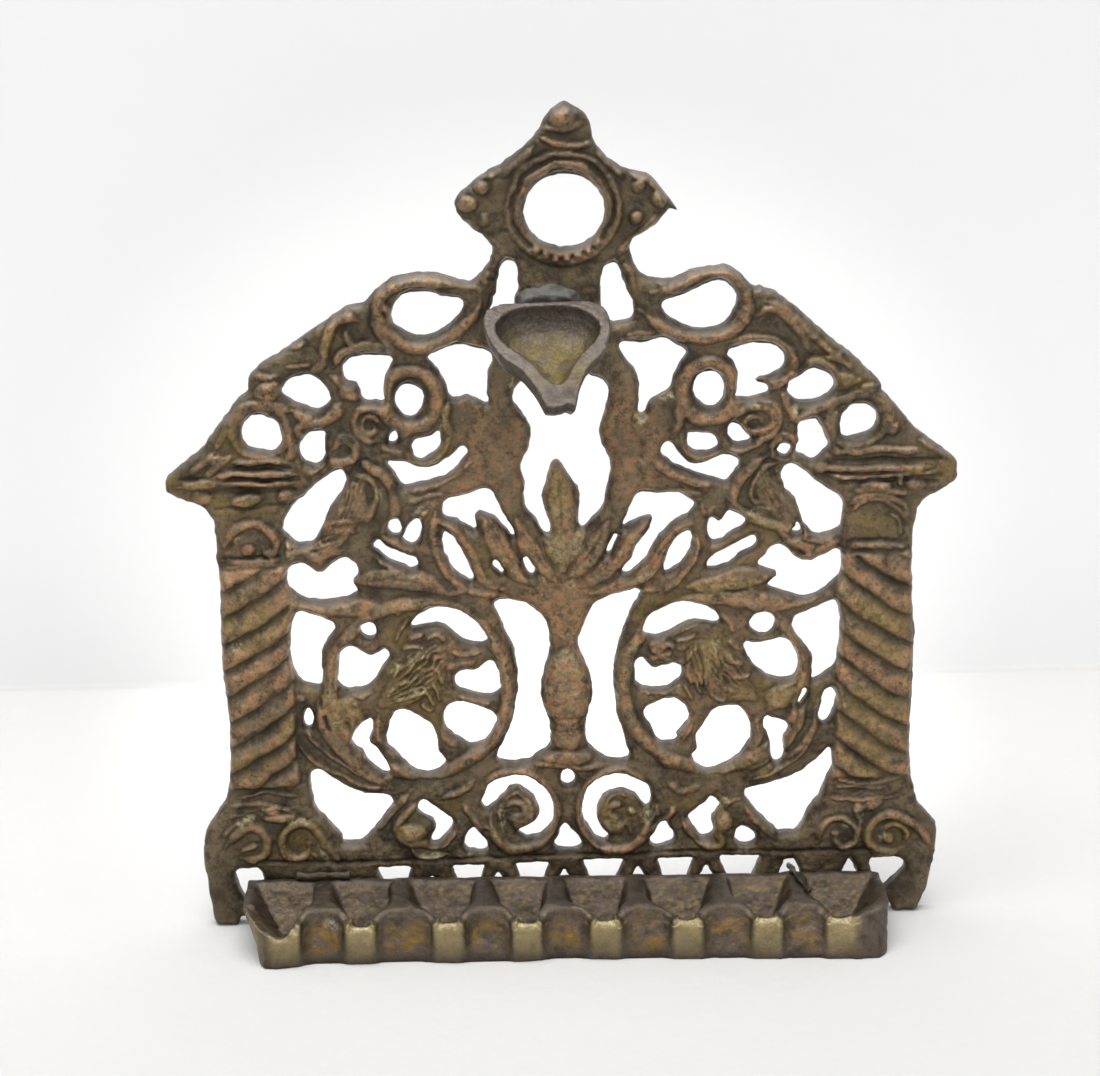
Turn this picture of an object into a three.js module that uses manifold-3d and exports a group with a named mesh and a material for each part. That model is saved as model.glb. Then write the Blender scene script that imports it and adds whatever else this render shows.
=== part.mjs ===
// Hanukkah lamp: a pierced cast back plate with a gabled top and a hanging ring,
// a cast tray of eight oil fonts along its foot, and a ninth, heart-shaped font at the top.
// Millimetres. +Z is up, the lamp faces -Y, the back of the plate is the plane Y = 0 while it is drawn.
import * as THREE from "three";
import Module from "manifold-3d";
import { mergeVertices } from "three/addons/utils/BufferGeometryUtils.js";

// Driving dimensions
const plateWidth = 170;
const plateHeight = 184;
const plateThickness = 3.5;
const pieceGap = 0.3;
const trayHeight = 11.4;
const trayFront = 25.4;
const trayWall = 1.7;
const trayFloor = 1.8;
const fontLength = 31;
const fontDepth = 8.5;
const fontSlopeDegrees = 30;
const fontTurnDegrees = 6;

// Plate outlines are in thousandths: x of the plate's width from the middle, z of its height from the feet
const perThousand = 1000;
const acrossMm = plateWidth / perThousand;
const upMm = plateHeight / perThousand;

const outlineShares = [
  [-456, 0], [-462, 2], [-465, 8], [-467.5, 26], [-469.5, 44], [-471, 60], [-473, 70], [-474, 80],
  [-474.5, 90], [-474, 100], [-472, 110], [-470, 120], [-465, 130], [-458, 140], [-450, 150], [-444, 158],
  [-441.5, 165], [-439, 175], [-436, 185], [-434.5, 200], [-433.5, 220], [-432.5, 240], [-433, 265],
  [-434.5, 290], [-436, 300], [-437.5, 313], [-438.5, 330], [-438.5, 365], [-439, 375], [-438.3, 390],
  [-438, 401], [-436.4, 415], [-436.6, 440], [-437.2, 450], [-438, 462], [-440.5, 471], [-438.5, 480],
  [-439.3, 500], [-441, 514], [-444.5, 522], [-450.6, 530], [-460, 535], [-470.5, 538.5], [-481, 541.7],
  [-489.6, 546.5], [-498.3, 551.3], [-500, 554], [-500, 562], [-495, 569.7], [-481, 580], [-467, 591.4],
  [-457.5, 597], [-449.7, 604], [-442, 615.4], [-430.7, 627.4], [-422, 638.7], [-411.6, 651.5],
  [-404, 661], [-396, 666.7], [-390, 671], [-390.4, 679], [-389, 687], [-384, 694], [-377, 701],
  [-365, 707], [-351, 714], [-337, 723.5], [-323, 732.5], [-294, 750.5], [-265, 768], [-256, 770.5],
  [-243, 772], [-237, 778], [-229, 786.6], [-220, 793], [-209, 800], [-198, 803.2], [-182, 805.6],
  [-166.6, 806.3], [-151, 804.6], [-139.7, 801.7], [-128.5, 798], [-119.6, 795.3], [-110.6, 795.3],
  [-101.7, 800], [-94, 808.3], [-87, 817.7], [-83.3, 827], [-84.2, 835], [-89.4, 843.5], [-98.3, 851.8],
  [-108.4, 857], [-119.6, 867.3], [-127.4, 877.6], [-129.7, 886], [-126.3, 894.2], [-117.3, 901.4],
  [-104, 911.8], [-88.3, 922], [-74.8, 927.3], [-59.2, 937.2], [-45.8, 947], [-32.3, 959.3],
  [-23.4, 969.7], [-18.9, 980], [-10, 990.4], [-1, 996.6], [6.2, 1000], [12.9, 998], [19.6, 992],
  [28.6, 988.3], [34, 983], [38, 972.8], [39.7, 958.3], [46.5, 947], [58.8, 934.5], [75.5, 924.2],
  [91.2, 919.4], [107, 916.5], [115.8, 908.7], [124.8, 898.3], [133.7, 887], [140.4, 879.7],
  [144.2, 873.9], [134.2, 877], [127, 869.4], [120.3, 862], [116.9, 857], [100, 848.7], [90, 843.5],
  [85.6, 834.2], [87.2, 821.8], [91.2, 810.4], [99, 802], [109, 796], [120.3, 794], [138.2, 794],
  [149.4, 798], [160.5, 804.2], [174, 807], [189.6, 807.7], [200.8, 810.4], [211, 807.3], [221, 801],
  [232, 789.7], [241, 781.5], [246.7, 785], [253.4, 781.5], [265, 778], [295, 756.5], [326.7, 730],
  [337, 721], [351, 711.6], [361.3, 703.6], [370, 695.5], [380.4, 686], [390.8, 677], [398.6, 670],
  [400.9, 664.3], [401.2, 658], [410, 651.5], [418.5, 642.7], [427.2, 633], [436, 621.8],
  [446.3, 611.4], [458.4, 601.8], [472.3, 592.2], [484.4, 584.2], [493, 578.6], [498.3, 573.8],
  [500, 569.7], [500, 554], [496.5, 548], [489.6, 544], [482.7, 539.3], [474, 534.5], [463.6, 529.7],
  [455.8, 524], [451.5, 517], [449, 505.6], [446.3, 490], [445.4, 470], [445.4, 450], [446.5, 430],
  [447, 415], [448.5, 399], [449.5, 375], [452, 363], [451.3, 352], [450.5, 340], [451.5, 326],
  [451.8, 310], [451.3, 297], [450, 270], [449, 250], [448.5, 230], [449.5, 215], [450, 200],
  [451, 190], [452, 180], [454.5, 170], [457, 160], [459, 150], [463, 140], [471, 130], [481, 120],
  [486, 115], [488, 110], [488.5, 100], [488.5, 92], [487, 76], [483, 60.5], [480.5, 48], [477, 29],
  [471, 13.4], [466, 2], [461, 0], [433, 0], [428, 10], [-428, 10], [-432, 0],
];

// The windows, from the plinth up
const windowShares = {
  plinthScrollLeft: [
    [-332, 187], [-331, 193], [-327, 196], [-321, 196], [-312, 192], [-300, 183], [-288, 175], [-275, 169],
    [-262, 164], [-250, 163], [-237, 162], [-228, 160], [-224, 153], [-228, 148], [-236, 138], [-243, 128],
    [-250, 119], [-258, 112], [-266, 105], [-272, 103], [-285, 103], [-291, 104], [-293, 111], [-300, 120],
    [-308, 129], [-314, 138], [-320, 141], [-324, 147], [-327, 153], [-329, 165], [-331, 177],
  ],
  plinthScrollRight: [
    [344, 212], [348, 210], [349, 200], [349, 189], [345, 182], [342, 175], [339, 165], [336, 157],
    [333, 151], [325, 145], [320, 137], [316, 128], [311, 117], [306, 109], [301, 105], [290, 106],
    [279, 105], [275, 111], [267, 116], [260, 123], [250, 133], [241, 144], [234, 153], [234, 159],
    [245, 161], [262, 165], [280, 170], [295, 175], [308, 181], [318, 188], [328, 197], [336, 205],
  ],
  hookedScrollLeft: [
    [-110, 151], [-106, 162], [-100, 173], [-90, 178], [-80, 181], [-65, 184], [-50, 182], [-40, 177],
    [-30, 169], [-20, 158], [-16, 146], [-15, 138], [-17, 125], [-22, 117], [-30, 109], [-40, 106],
    [-50, 105], [-58, 109], [-65, 114], [-58, 116], [-45, 120], [-38, 126], [-34, 135], [-34, 142],
    [-37, 152], [-40, 158], [-50, 166], [-56, 170], [-60, 172], [-66, 172], [-72, 170], [-78, 164],
    [-85, 158], [-92, 150], [-97, 148], [-100, 143], [-106, 145],
  ],
  hookedScrollRight: [
    [22, 145], [22, 135], [25, 125], [30, 116], [37, 106], [45, 101], [52, 99], [57, 105], [52, 109],
    [47, 114], [43, 123], [41, 132], [41, 142], [45, 150], [50, 158], [58, 163], [67, 165], [75, 166],
    [83, 163], [92, 158], [98, 151], [102, 144], [106, 141], [110, 145], [112, 154], [111, 163],
    [107, 169], [98, 172], [90, 176], [80, 181], [67, 182], [52, 180], [42, 176], [31, 168], [25, 157],
  ],
  smallScrollLeft: [
    [-190, 153], [-184, 154], [-176, 148], [-168, 143], [-160, 137], [-150, 131], [-146, 126], [-149, 119],
    [-155, 112], [-160, 107], [-166, 101], [-172, 100], [-178, 104], [-174, 109], [-171, 116],
    [-169, 122], [-173, 130], [-180, 135], [-188, 139], [-193, 145],
  ],
  smallScrollRight: [
    [190, 151], [197, 148], [202, 143], [203, 139], [199, 135], [192, 128], [191, 122], [193, 115],
    [195, 108], [190, 103], [183, 100], [177, 102], [172, 108], [166, 116], [161, 125], [162, 129],
    [170, 135], [180, 141], [185, 147],
  ],
  railTriangleLeft: [
    [-120, 117], [-116, 113], [-110, 106], [-103, 98], [-102, 93], [-106, 88], [-115, 88], [-122, 90],
    [-130, 91], [-133, 97], [-131, 106], [-126, 113],
  ],
  railTriangleMiddle: [
    [0, 120], [5, 116], [10, 110], [17, 103], [22, 95], [18, 90], [10, 88], [0, 88], [-10, 89],
    [-15, 94], [-14, 100], [-8, 107], [-8, 112], [-5, 118],
  ],
  railTriangleRight: [
    [130, 121], [134, 116], [138, 110], [142, 105], [142, 98], [138, 94], [130, 92], [122, 90],
    [115, 90], [110, 95], [112, 101], [117, 108], [121, 115], [125, 120],
  ],
  railHoleRight: [
    [232, 111], [240, 108], [248, 102], [251, 97], [246, 91], [238, 89], [228, 90], [223, 95],
    [222, 101], [225, 108],
  ],
  lionBellyLeft: [
    [-220, 269], [-212, 271], [-203, 270], [-193, 265], [-185, 260], [-172, 251], [-168, 243], [-165, 232],
    [-164, 220], [-160, 213], [-155, 206], [-157, 201], [-163, 196], [-170, 193], [-180, 192],
    [-192, 194], [-200, 198], [-207, 206], [-215, 214], [-222, 222], [-230, 229], [-231, 238],
    [-228, 248], [-226, 258],
  ],
  lionBellyRight: [
    [171, 234], [175, 240], [182, 250], [190, 261], [200, 266], [212, 268], [222, 268], [230, 264],
    [236, 257], [240, 249], [243, 238], [241, 226], [236, 218], [228, 208], [218, 200], [207, 194],
    [197, 190], [187, 189], [177, 192], [170, 197], [166, 204], [164, 209], [170, 212], [172, 217],
    [171, 226],
  ],
  lionFrontLeft: [
    [-150, 276], [-140, 279], [-130, 279], [-118, 276], [-105, 271], [-95, 267], [-88, 262], [-88, 255],
    [-91, 247], [-96, 239], [-103, 232], [-112, 229], [-122, 226], [-127, 229], [-134, 235],
    [-142, 240], [-150, 245], [-155, 251], [-157, 260], [-156, 269], [-152, 274],
  ],
  lionFrontRight: [
    [108, 270], [120, 275], [130, 278], [143, 279], [150, 275], [157, 269], [161, 260], [160, 252],
    [155, 246], [148, 238], [145, 235], [147, 230], [142, 226], [132, 225], [125, 226], [119, 231],
    [114, 240], [110, 249], [104, 257], [102, 262], [104, 267],
  ],
  lionHindLeft: [
    [-250, 261], [-248, 257], [-248, 247], [-252, 240], [-254, 235], [-249, 227], [-240, 220], [-232, 207],
    [-228, 198], [-227, 193], [-231, 192], [-238, 193], [-246, 199], [-253, 206], [-258, 213],
    [-262, 222], [-267, 226], [-273, 229], [-276, 234], [-274, 241], [-268, 249], [-260, 256],
  ],
  lionHindRight: [
    [259, 252], [263, 254], [270, 251], [280, 249], [287, 246], [291, 241], [289, 234], [284, 229],
    [284, 220], [286, 210], [285, 202], [280, 197], [275, 196], [271, 200], [268, 209], [268, 222],
    [266, 229], [262, 236], [259, 242], [258, 247],
  ],
  columnFootLeft: [
    [-331, 278], [-326, 272], [-324, 264], [-326, 256], [-331, 253], [-336, 257], [-338, 262], [-336, 271],
  ],
  columnFootRight: [
    [344, 288], [349, 287.5], [351.3, 284], [352.5, 276], [350, 267], [346, 257], [341, 248], [336, 247],
    [331, 250], [329, 257], [331, 268], [334, 278], [338, 286],
  ],
  columnNickRight: [
    [312, 288.5], [314, 286.4], [313.7, 282.4], [310, 276.8], [306.7, 271], [304, 271], [302.4, 273.6],
    [304, 279.2], [306, 284.8], [308.5, 287.6],
  ],
  vaseLeft: [
    [-88, 405], [-82, 408], [-68, 408], [-57, 406], [-47, 403], [-37, 396], [-28, 388], [-22, 379.5],
    [-18.5, 370.5], [-17.5, 359.5], [-18, 348], [-21, 336], [-25.5, 320], [-29.7, 303.5], [-31.5, 295],
    [-31.4, 289], [-29, 281], [-25, 270], [-20, 255], [-18, 240], [-19, 228], [-22, 221], [-30, 216],
    [-38, 212], [-45, 206], [-60, 204], [-75, 204], [-85, 207], [-88, 211], [-86, 218], [-80, 228],
    [-75, 240], [-68, 255], [-64, 270], [-62, 279.5], [-59.5, 295], [-59.5, 310], [-60, 326],
    [-62.6, 342], [-67, 355], [-73, 366], [-79, 379], [-84, 390], [-88, 399.5],
  ],
  vaseRight: [
    [98.7, 414], [97, 417], [92, 418], [85, 416], [75, 414], [64, 411.5], [54, 408], [45, 404],
    [38, 399.5], [32, 391.5], [26, 379], [21, 367.5], [18.4, 359.5], [18.4, 351.5], [21, 343.5],
    [25.3, 334], [29.7, 321], [34, 311], [36.3, 303], [37, 295], [36.6, 287], [34, 278], [29, 260],
    [27, 245], [28, 230], [32, 223], [40, 217], [48, 210], [56, 205], [65, 204], [75, 204], [83, 206],
    [84, 213], [80, 222], [77, 235], [72, 248], [68, 262], [66, 275], [65, 283], [64, 295],
    [63.5, 310], [64, 324], [66, 337], [69.5, 350], [75, 364], [80, 377], [83.4, 388], [89.5, 399.5],
    [95.5, 407.5],
  ],
  lionChinLeft: [
    [-141.5, 308], [-140, 314], [-134, 318.5], [-125, 320], [-116, 319.5], [-109.5, 322], [-103, 327.5],
    [-97, 331], [-91, 330.5], [-87.5, 326.5], [-84, 318], [-82.5, 308], [-82, 298.5], [-85, 293],
    [-94, 290.5], [-106, 290.5], [-114.5, 292], [-121.5, 294.5], [-128.5, 297], [-136, 299.5],
    [-140.5, 304],
  ],
  lionChinRight: [
    [91, 327.5], [95.5, 329], [99, 332], [103, 330.5], [107.5, 325], [112, 319.5], [118, 317.5],
    [125, 319.5], [132, 322], [140.5, 323.5], [147.5, 322], [152, 319.5], [152, 313], [149, 306.5],
    [142, 301], [134, 296], [123, 294.5], [113, 295], [100.5, 296.5], [94.5, 300], [91.5, 305],
    [91, 316],
  ],
  lionBackLeft: [
    [-197, 379.5], [-194, 383.5], [-188, 389], [-180.5, 394], [-172, 398], [-160.5, 399.5], [-149, 399],
    [-137, 396], [-127.5, 392], [-118, 385.5], [-110, 379.5], [-104, 371], [-98, 362], [-99, 358],
    [-106, 356], [-116, 356], [-124, 358], [-132, 362], [-139, 368], [-146, 374.5], [-152.5, 379.5],
    [-163, 382], [-175, 381], [-185.5, 378], [-194, 377],
  ],
  lionBackRight: [
    [101.5, 369], [103, 374.5], [107.5, 382.5], [116, 389], [128.5, 394.5], [142, 399.5], [152.5, 401],
    [163, 400], [175, 397], [185.5, 394], [193.5, 389], [198, 383.5], [200.5, 378], [197, 375.5],
    [189, 377], [178.5, 379], [168, 379], [158, 377.5], [149, 374], [140.5, 368], [132, 364],
    [123, 361.5], [114.5, 361], [107.5, 363], [102.5, 365],
  ],
  tailLeft: [
    [-224, 345], [-230, 349], [-236, 346], [-240, 343], [-247, 340.8], [-252, 341.7], [-257.3, 345.3],
    [-262.5, 348.5], [-268.6, 351.3], [-275.5, 352.1], [-281.6, 351.3], [-286, 348], [-289, 343.3],
    [-289.7, 337], [-289.7, 329], [-290.3, 322.5], [-292, 317], [-292, 312], [-289.4, 307.3],
    [-285, 303.3], [-278, 301.2], [-269.5, 301], [-261, 301.7], [-252, 304.6], [-245, 310.5],
    [-240, 318], [-236, 322.5], [-229, 333], [-224, 341],
  ],
  tailRight: [
    [231.5, 348], [235, 349.5], [243, 347], [250.4, 347], [259, 348], [266, 350.2], [273, 352],
    [279, 353], [285, 352], [290.3, 349.3], [294.6, 344], [298.6, 337.7], [301.5, 330.5], [302.4, 324],
    [301.5, 317], [299, 310.5], [294.6, 305.7], [288.5, 303.3], [280.7, 303], [273, 304.6],
    [264.3, 307.8], [257.3, 311.3], [250.4, 316], [244.3, 321.7], [239, 329], [234, 338], [231.5, 344],
  ],
  tailEyeLeft: [
    [-261, 377], [-258, 379.7], [-250.4, 382.3], [-243, 380.5], [-239.7, 374], [-242, 367.5], [-248.6, 365],
    [-255, 368.3], [-259.3, 373],
  ],
  tailEyeRight: [
    [238.5, 376], [243, 381], [250.4, 384.5], [259, 386], [266, 384.2], [271, 379.4], [271.7, 373.8],
    [269.8, 368], [265, 363], [259, 360.6], [251.3, 360.2], [246, 363], [241.5, 367], [239, 371],
  ],
  columnSideLeft: [
    [-335.3, 398.3], [-332, 397.8], [-326.7, 395.3], [-319.7, 391.7], [-312.8, 389], [-306, 387.2],
    [-299, 385.3], [-293.7, 383], [-292.3, 380.2], [-293.4, 376.2], [-296.8, 371.4], [-300.7, 366.6],
    [-305, 361], [-308.5, 355.4], [-310.5, 349], [-311, 340], [-311, 330.5], [-310.5, 321],
    [-311, 313], [-312.4, 307.3], [-316.3, 305.7], [-321.5, 306.5], [-328.4, 308.4], [-334.5, 309.4],
    [-338.8, 312.6], [-343, 317.7], [-346, 324], [-348.3, 332], [-350.6, 340], [-351.3, 350],
    [-351, 358], [-349.5, 368], [-348.3, 380], [-347, 387.4], [-344.5, 393], [-340.5, 396.7],
  ],
  columnSideRight: [
    [348.3, 399.4], [351, 398.3], [353, 393.8], [354.4, 386.6], [355.8, 377], [356, 365.8], [355.8, 356],
    [354.4, 346.5], [353, 337], [351.8, 327.3], [351, 319.3], [347.5, 315.8], [342.3, 312],
    [335.3, 307.8], [329.3, 304.4], [323, 302], [319.7, 300.4], [318.9, 303], [319.4, 311.3],
    [320.3, 319.3], [321, 325.7], [320.3, 332], [318, 337], [313.7, 342.5], [308.5, 348], [303.3, 354.6],
    [299, 360.2], [295.8, 365.8], [293.4, 371.4], [294, 376.2], [297, 380], [304, 382.3],
    [312.8, 385.8], [321.5, 389.8], [330, 393.3], [338.8, 397],
  ],
  birdTailLeft: [
    [-351, 448.3], [-347.5, 453], [-342.3, 456.3], [-335.3, 457.8], [-329.4, 457.4], [-325, 455.2],
    [-321.5, 452], [-318.3, 448.6], [-314.5, 446.5], [-309.7, 445.6], [-305, 446.7], [-301.5, 449.4],
    [-297, 453], [-292, 458], [-286.8, 461.6], [-280.7, 463.5], [-274.7, 462.7], [-268.6, 459.5],
    [-264, 455.5], [-261, 450.4], [-261, 446], [-264.6, 442], [-267.4, 436.3], [-264.6, 431.5],
    [-262.2, 426.7], [-262.5, 422.7], [-267.7, 419.5], [-274.7, 415.8], [-283.3, 414.3], [-295.5, 413.4],
    [-309.3, 413], [-318, 413.4], [-326.7, 415], [-333.6, 417.5], [-340.5, 421], [-345.7, 425.4],
    [-349.5, 430], [-351.3, 435.5], [-352, 441],
  ],
  birdTailRight: [
    [247.3, 449.5], [250.4, 453], [254.7, 455.8], [258.2, 459], [260.5, 463.5], [265, 467.5],
    [270.3, 469.6], [277.3, 470.4], [282.5, 468.7], [286.8, 464.8], [290.3, 460], [294.6, 455.5],
    [299.8, 452], [306, 449.7], [312, 448.8], [318, 449.4], [324, 452], [329.3, 454.7], [335.3, 458],
    [342.3, 461], [348.3, 463.5], [353.5, 462.7], [355.6, 458.7], [356, 450.7], [356.5, 442.7],
    [355.3, 437], [352.7, 431.5], [348.3, 426.7], [342.3, 422], [336.2, 417], [330, 413], [324, 409.8],
    [318, 407.8], [309.3, 406.6], [300.7, 407], [292, 409], [282.5, 412.2], [273, 415.8],
    [264.3, 419.5], [259.4, 422.2], [262.5, 425], [268.6, 428.6], [272.6, 431.5], [273.8, 435],
    [272, 438.2], [268.6, 439.8], [262.5, 440.8], [256.5, 443], [250.4, 445.6],
  ],
  stemLeft: [
    [-241, 481], [-235, 485], [-231, 483], [-225.5, 477], [-218, 473], [-208, 469], [-198, 465],
    [-189, 463], [-184, 458], [-186, 453], [-191, 450], [-196, 451], [-199, 455], [-205, 456.5],
    [-213.5, 459], [-220, 462], [-225.5, 467], [-231, 471], [-238, 475], [-241, 478],
  ],
  stemRight: [
    [182.5, 446], [183, 450], [187.5, 455], [194, 459.5], [203, 463.5], [211.5, 468], [220, 472.5],
    [229, 477], [237.5, 481.5], [244.5, 482.5], [247, 479.5], [246, 474], [241, 469], [232.5, 464.5],
    [224, 460.5], [218.5, 455], [211.5, 450], [203, 448], [194, 445.5], [185.5, 445.5],
  ],
  frondSlotLeft: [
    [-151, 495], [-146, 492.5], [-140, 488.5], [-134.5, 481], [-130.5, 475], [-127.5, 466], [-123, 457],
    [-118, 448], [-115.5, 442], [-114, 437], [-117, 434.5], [-121.5, 436], [-127, 439.5], [-134, 443.5],
    [-140, 448.5], [-144, 455], [-147.5, 462], [-151, 471], [-153, 479.5], [-154, 487.5],
  ],
  frondSlotRight: [
    [128, 441], [128.5, 451], [131, 459.5], [135.5, 470], [141.5, 478], [149, 484.5], [157, 489],
    [162, 489], [165, 483.5], [164, 475], [161.5, 467], [157, 459], [151, 452.5], [142, 446.5],
    [134, 442.5],
  ],
  leafSlotLeft: [
    [-90.5, 455.5], [-88.5, 458.5], [-84, 456.5], [-80, 451.5], [-75, 445], [-75.5, 442.5], [-80, 443],
    [-85, 447.5], [-89.5, 451.5],
  ],
  leafSlotMiddle: [
    [-51, 460.5], [-48, 462], [-44.5, 459.5], [-41, 453], [-36, 447.5], [-36, 442.5], [-40, 440.5],
    [-45, 443.5], [-49, 449],
  ],
  leafSlotRight: [
    [54.5, 467.5], [55.7, 465], [60, 465.5], [64, 471], [67, 478], [70, 486], [68.7, 489], [65, 487],
    [61, 480.5], [56.5, 473],
  ],
  budLeft: [
    [-179, 505.5], [-179.3, 497.6], [-182.2, 490], [-186.5, 483.5], [-192.5, 480.5], [-199.5, 483],
    [-203.8, 489], [-201.3, 495.2], [-197, 501.6], [-191.7, 507], [-186.5, 510.3], [-181.3, 510],
  ],
  budOuterLeft: [
    [-221, 505.6], [-222, 500.8], [-219.5, 496], [-213.4, 493.4], [-207.3, 493.6], [-204.4, 497.6],
    [-204.4, 503.2], [-206.5, 508], [-210.8, 510.8], [-216, 509.7], [-219.5, 507.4],
  ],
  budRight: [
    [183.6, 500.8], [185.7, 503.7], [190, 505.2], [194.3, 503.2], [198.7, 500], [201.3, 501.6],
    [204, 506.4], [206.5, 511.3], [210.8, 513.7], [217, 512], [223.8, 508.8], [230, 504.8],
    [232.5, 500.8], [230, 497.3], [220, 491.5], [211.5, 487], [203, 480.5], [196, 477.5], [190, 478],
    [185.5, 483.5], [184, 491],
  ],
  frondCrownLeft: [
    [-151.5, 529.7], [-145.8, 533.7], [-135.4, 535.8], [-126.7, 537.2], [-118, 539.3], [-111, 542.2],
    [-104.2, 544.6], [-97.3, 545.4], [-92, 544], [-87.7, 540], [-85, 533.7], [-81.7, 525.7],
    [-78.2, 520], [-74.7, 513.7], [-69.5, 507.2], [-65.2, 500.8], [-62, 495], [-60, 488], [-62.5, 485],
    [-66, 488.5], [-69, 494], [-75, 499.7], [-81.7, 508], [-86, 513], [-93.8, 516], [-100.7, 517.7],
    [-106, 520], [-108.5, 517], [-111.5, 513.7], [-110.8, 507], [-108.5, 499.2], [-112, 497.3],
    [-118, 500], [-123.3, 504], [-130.2, 508], [-135.4, 511.3], [-144, 512.4], [-150, 514.5],
    [-153, 518.5], [-152.7, 524],
  ],
  frondCrownRight: [
    [100, 538], [109.4, 536.4], [119.8, 535.6], [130.2, 536], [139, 536.4], [149.3, 535.3],
    [156.2, 532], [162.3, 528], [167.5, 524], [168.3, 521], [164, 516], [158, 510.5], [151, 509.2],
    [145, 506.4], [138, 501.6], [132, 495.2], [128.3, 490], [121.5, 486], [118, 479.5], [113, 470],
    [106, 459], [95.5, 449], [87, 442], [80, 440], [74, 441], [76.5, 446], [81.5, 451], [87, 459.5],
    [92, 471], [99, 479.5], [106, 488], [111, 496], [113.4, 504], [113.7, 508.8], [111, 510.8],
    [106, 510.5], [97.3, 508.8], [89.5, 504.8], [82.5, 500.8], [78.2, 498], [75, 499.2],
    [76.5, 503.2], [80.8, 510.5], [85, 518.5], [87.7, 525.7], [90.3, 531.3], [94.7, 536],
  ],
  middleWindow: [
    [-55.7, 669], [-52.2, 672], [-47, 676], [-38, 684], [-20, 692], [0, 694], [20, 690], [32, 683],
    [40, 678], [47, 676.6], [53, 673.6], [57.4, 668.3], [59.7, 661], [58.8, 654.7], [57, 646.7],
    [54, 638], [50, 629.8], [47.5, 622.6], [46.5, 614.6], [48, 605], [50.5, 597], [54.8, 589],
    [59, 581], [61, 573], [60.5, 565], [58.3, 557], [55.7, 549], [54, 539.3], [53, 529.7],
    [50.5, 521.7], [47, 517.7], [41, 513], [35, 507.2], [30.5, 501.6], [27, 498], [23.6, 498.4],
    [20.7, 501.6], [19.3, 507.2], [20, 515.3], [21, 525], [22.2, 533], [22.2, 539.3], [20, 545.7],
    [15.8, 552], [10.6, 560], [5.4, 567.3], [0.2, 573.8], [-4, 579.3], [-7, 581], [-11, 579.7],
    [-14.4, 575.4], [-16, 569.7], [-19, 561.7], [-22, 552], [-24.5, 544], [-26.2, 537], [-25.3, 529.7],
    [-22.7, 520], [-20, 512], [-16.7, 504], [-15, 497.6], [-16, 492], [-20, 490], [-25.3, 493],
    [-29.7, 499.2], [-32.6, 507.2], [-38.3, 513], [-44.4, 519.3], [-48, 525.7], [-49, 534.5],
    [-48.4, 544], [-47.3, 553], [-49.6, 561], [-53.4, 569.7], [-53, 575.4], [-49.6, 582.6],
    [-45.3, 589], [-41.8, 595.4], [-39.5, 603.4], [-38.7, 611.4], [-40, 621], [-43.5, 629],
    [-49.6, 637], [-55.7, 644.3], [-60.5, 651.5], [-62, 658.7], [-60, 665],
  ],
  birdNeckLeft: [
    [-279, 572], [-283.3, 571], [-289.4, 569.3], [-295.5, 565], [-301.5, 561.4], [-307.6, 557.7],
    [-312.8, 553.2], [-318, 548], [-324, 543.3], [-328.4, 539], [-332.7, 537.7], [-337, 534.5],
    [-341.4, 529.7], [-345, 523.3], [-349.2, 517], [-352.7, 510.4], [-354.5, 503.2], [-352, 497.5],
    [-345.7, 490.8], [-340.5, 486.8], [-333.6, 484.7], [-326.7, 484.4], [-319.7, 485.2],
    [-313.7, 488.4], [-310.2, 493.2], [-307.6, 498.8], [-304.5, 504.5], [-301.5, 510.4], [-299, 518.5],
    [-293.7, 528], [-288.5, 535.3], [-282.5, 541], [-278, 546.5], [-275.5, 553], [-272.6, 560],
    [-272.6, 565], [-275.5, 570],
  ],
  birdNeckRight: [
    [276.4, 560], [279, 565], [284.2, 568], [290.3, 569], [297.2, 567], [303.3, 563.3],
    [308.5, 559.3], [313.7, 553.7], [320.6, 548], [329.3, 542.5], [338, 537], [346.6, 533],
    [351.8, 529], [355.8, 523.3], [357, 517], [355.8, 507.2], [354.4, 499.2], [353.5, 494.8],
    [351.8, 490.8], [347.5, 488.8], [342.3, 487], [337, 486.3], [332, 484.7], [326.7, 483.6],
    [319.7, 484.7], [314.5, 488], [310.2, 493.2], [306, 498], [303, 504], [301.5, 510.4],
    [299, 520], [294.6, 529], [288.5, 534.5], [282.5, 541], [279, 547.3], [276.7, 553.7],
  ],
  beakRight: [
    [296, 500], [300, 497.5], [303, 491], [303, 486.5], [297, 486.3], [291.5, 487], [291, 489.5],
    [294.5, 492], [296, 496],
  ],
  crescentLeft: [
    [-221, 581.8], [-211.7, 580.2], [-203, 580.2], [-196, 578.6], [-189, 575], [-182.2, 572.6],
    [-174.4, 571.8], [-166.6, 572.6], [-158, 575.4], [-149.3, 580.2], [-141.5, 585], [-134.5, 590.6],
    [-129.3, 596.2], [-125, 597.5], [-120, 595.4], [-119, 590.6], [-122.4, 585.8], [-127.6, 579.4],
    [-133.7, 573], [-140.6, 567.3], [-147.5, 563.3], [-156.2, 562], [-160.5, 559.8], [-170, 557.7],
    [-180.5, 556], [-191, 554.5], [-198.7, 553], [-204, 555.3], [-206.5, 560], [-210.8, 566.5],
    [-215, 573.8], [-219.5, 578.6],
  ],
  crescentRight: [
    [124, 587.4], [125, 592.2], [129.3, 597.3], [133.7, 599], [138, 597], [143.2, 591.4],
    [148.4, 584.2], [154.5, 577], [160.5, 572.2], [168.3, 570.5], [177, 571.3], [185.7, 574.6],
    [194.3, 578.6], [203, 581.8], [211.7, 581], [219.5, 578.6], [223.8, 574.6], [223, 569.7],
    [218.6, 565], [214.3, 557.7], [210, 552], [204.7, 551.8], [197, 553.7], [189, 556.6],
    [178.7, 558.8], [168.3, 562], [158.8, 565.7], [149.3, 569.7], [140.6, 573.8], [132.8, 579.4],
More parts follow.
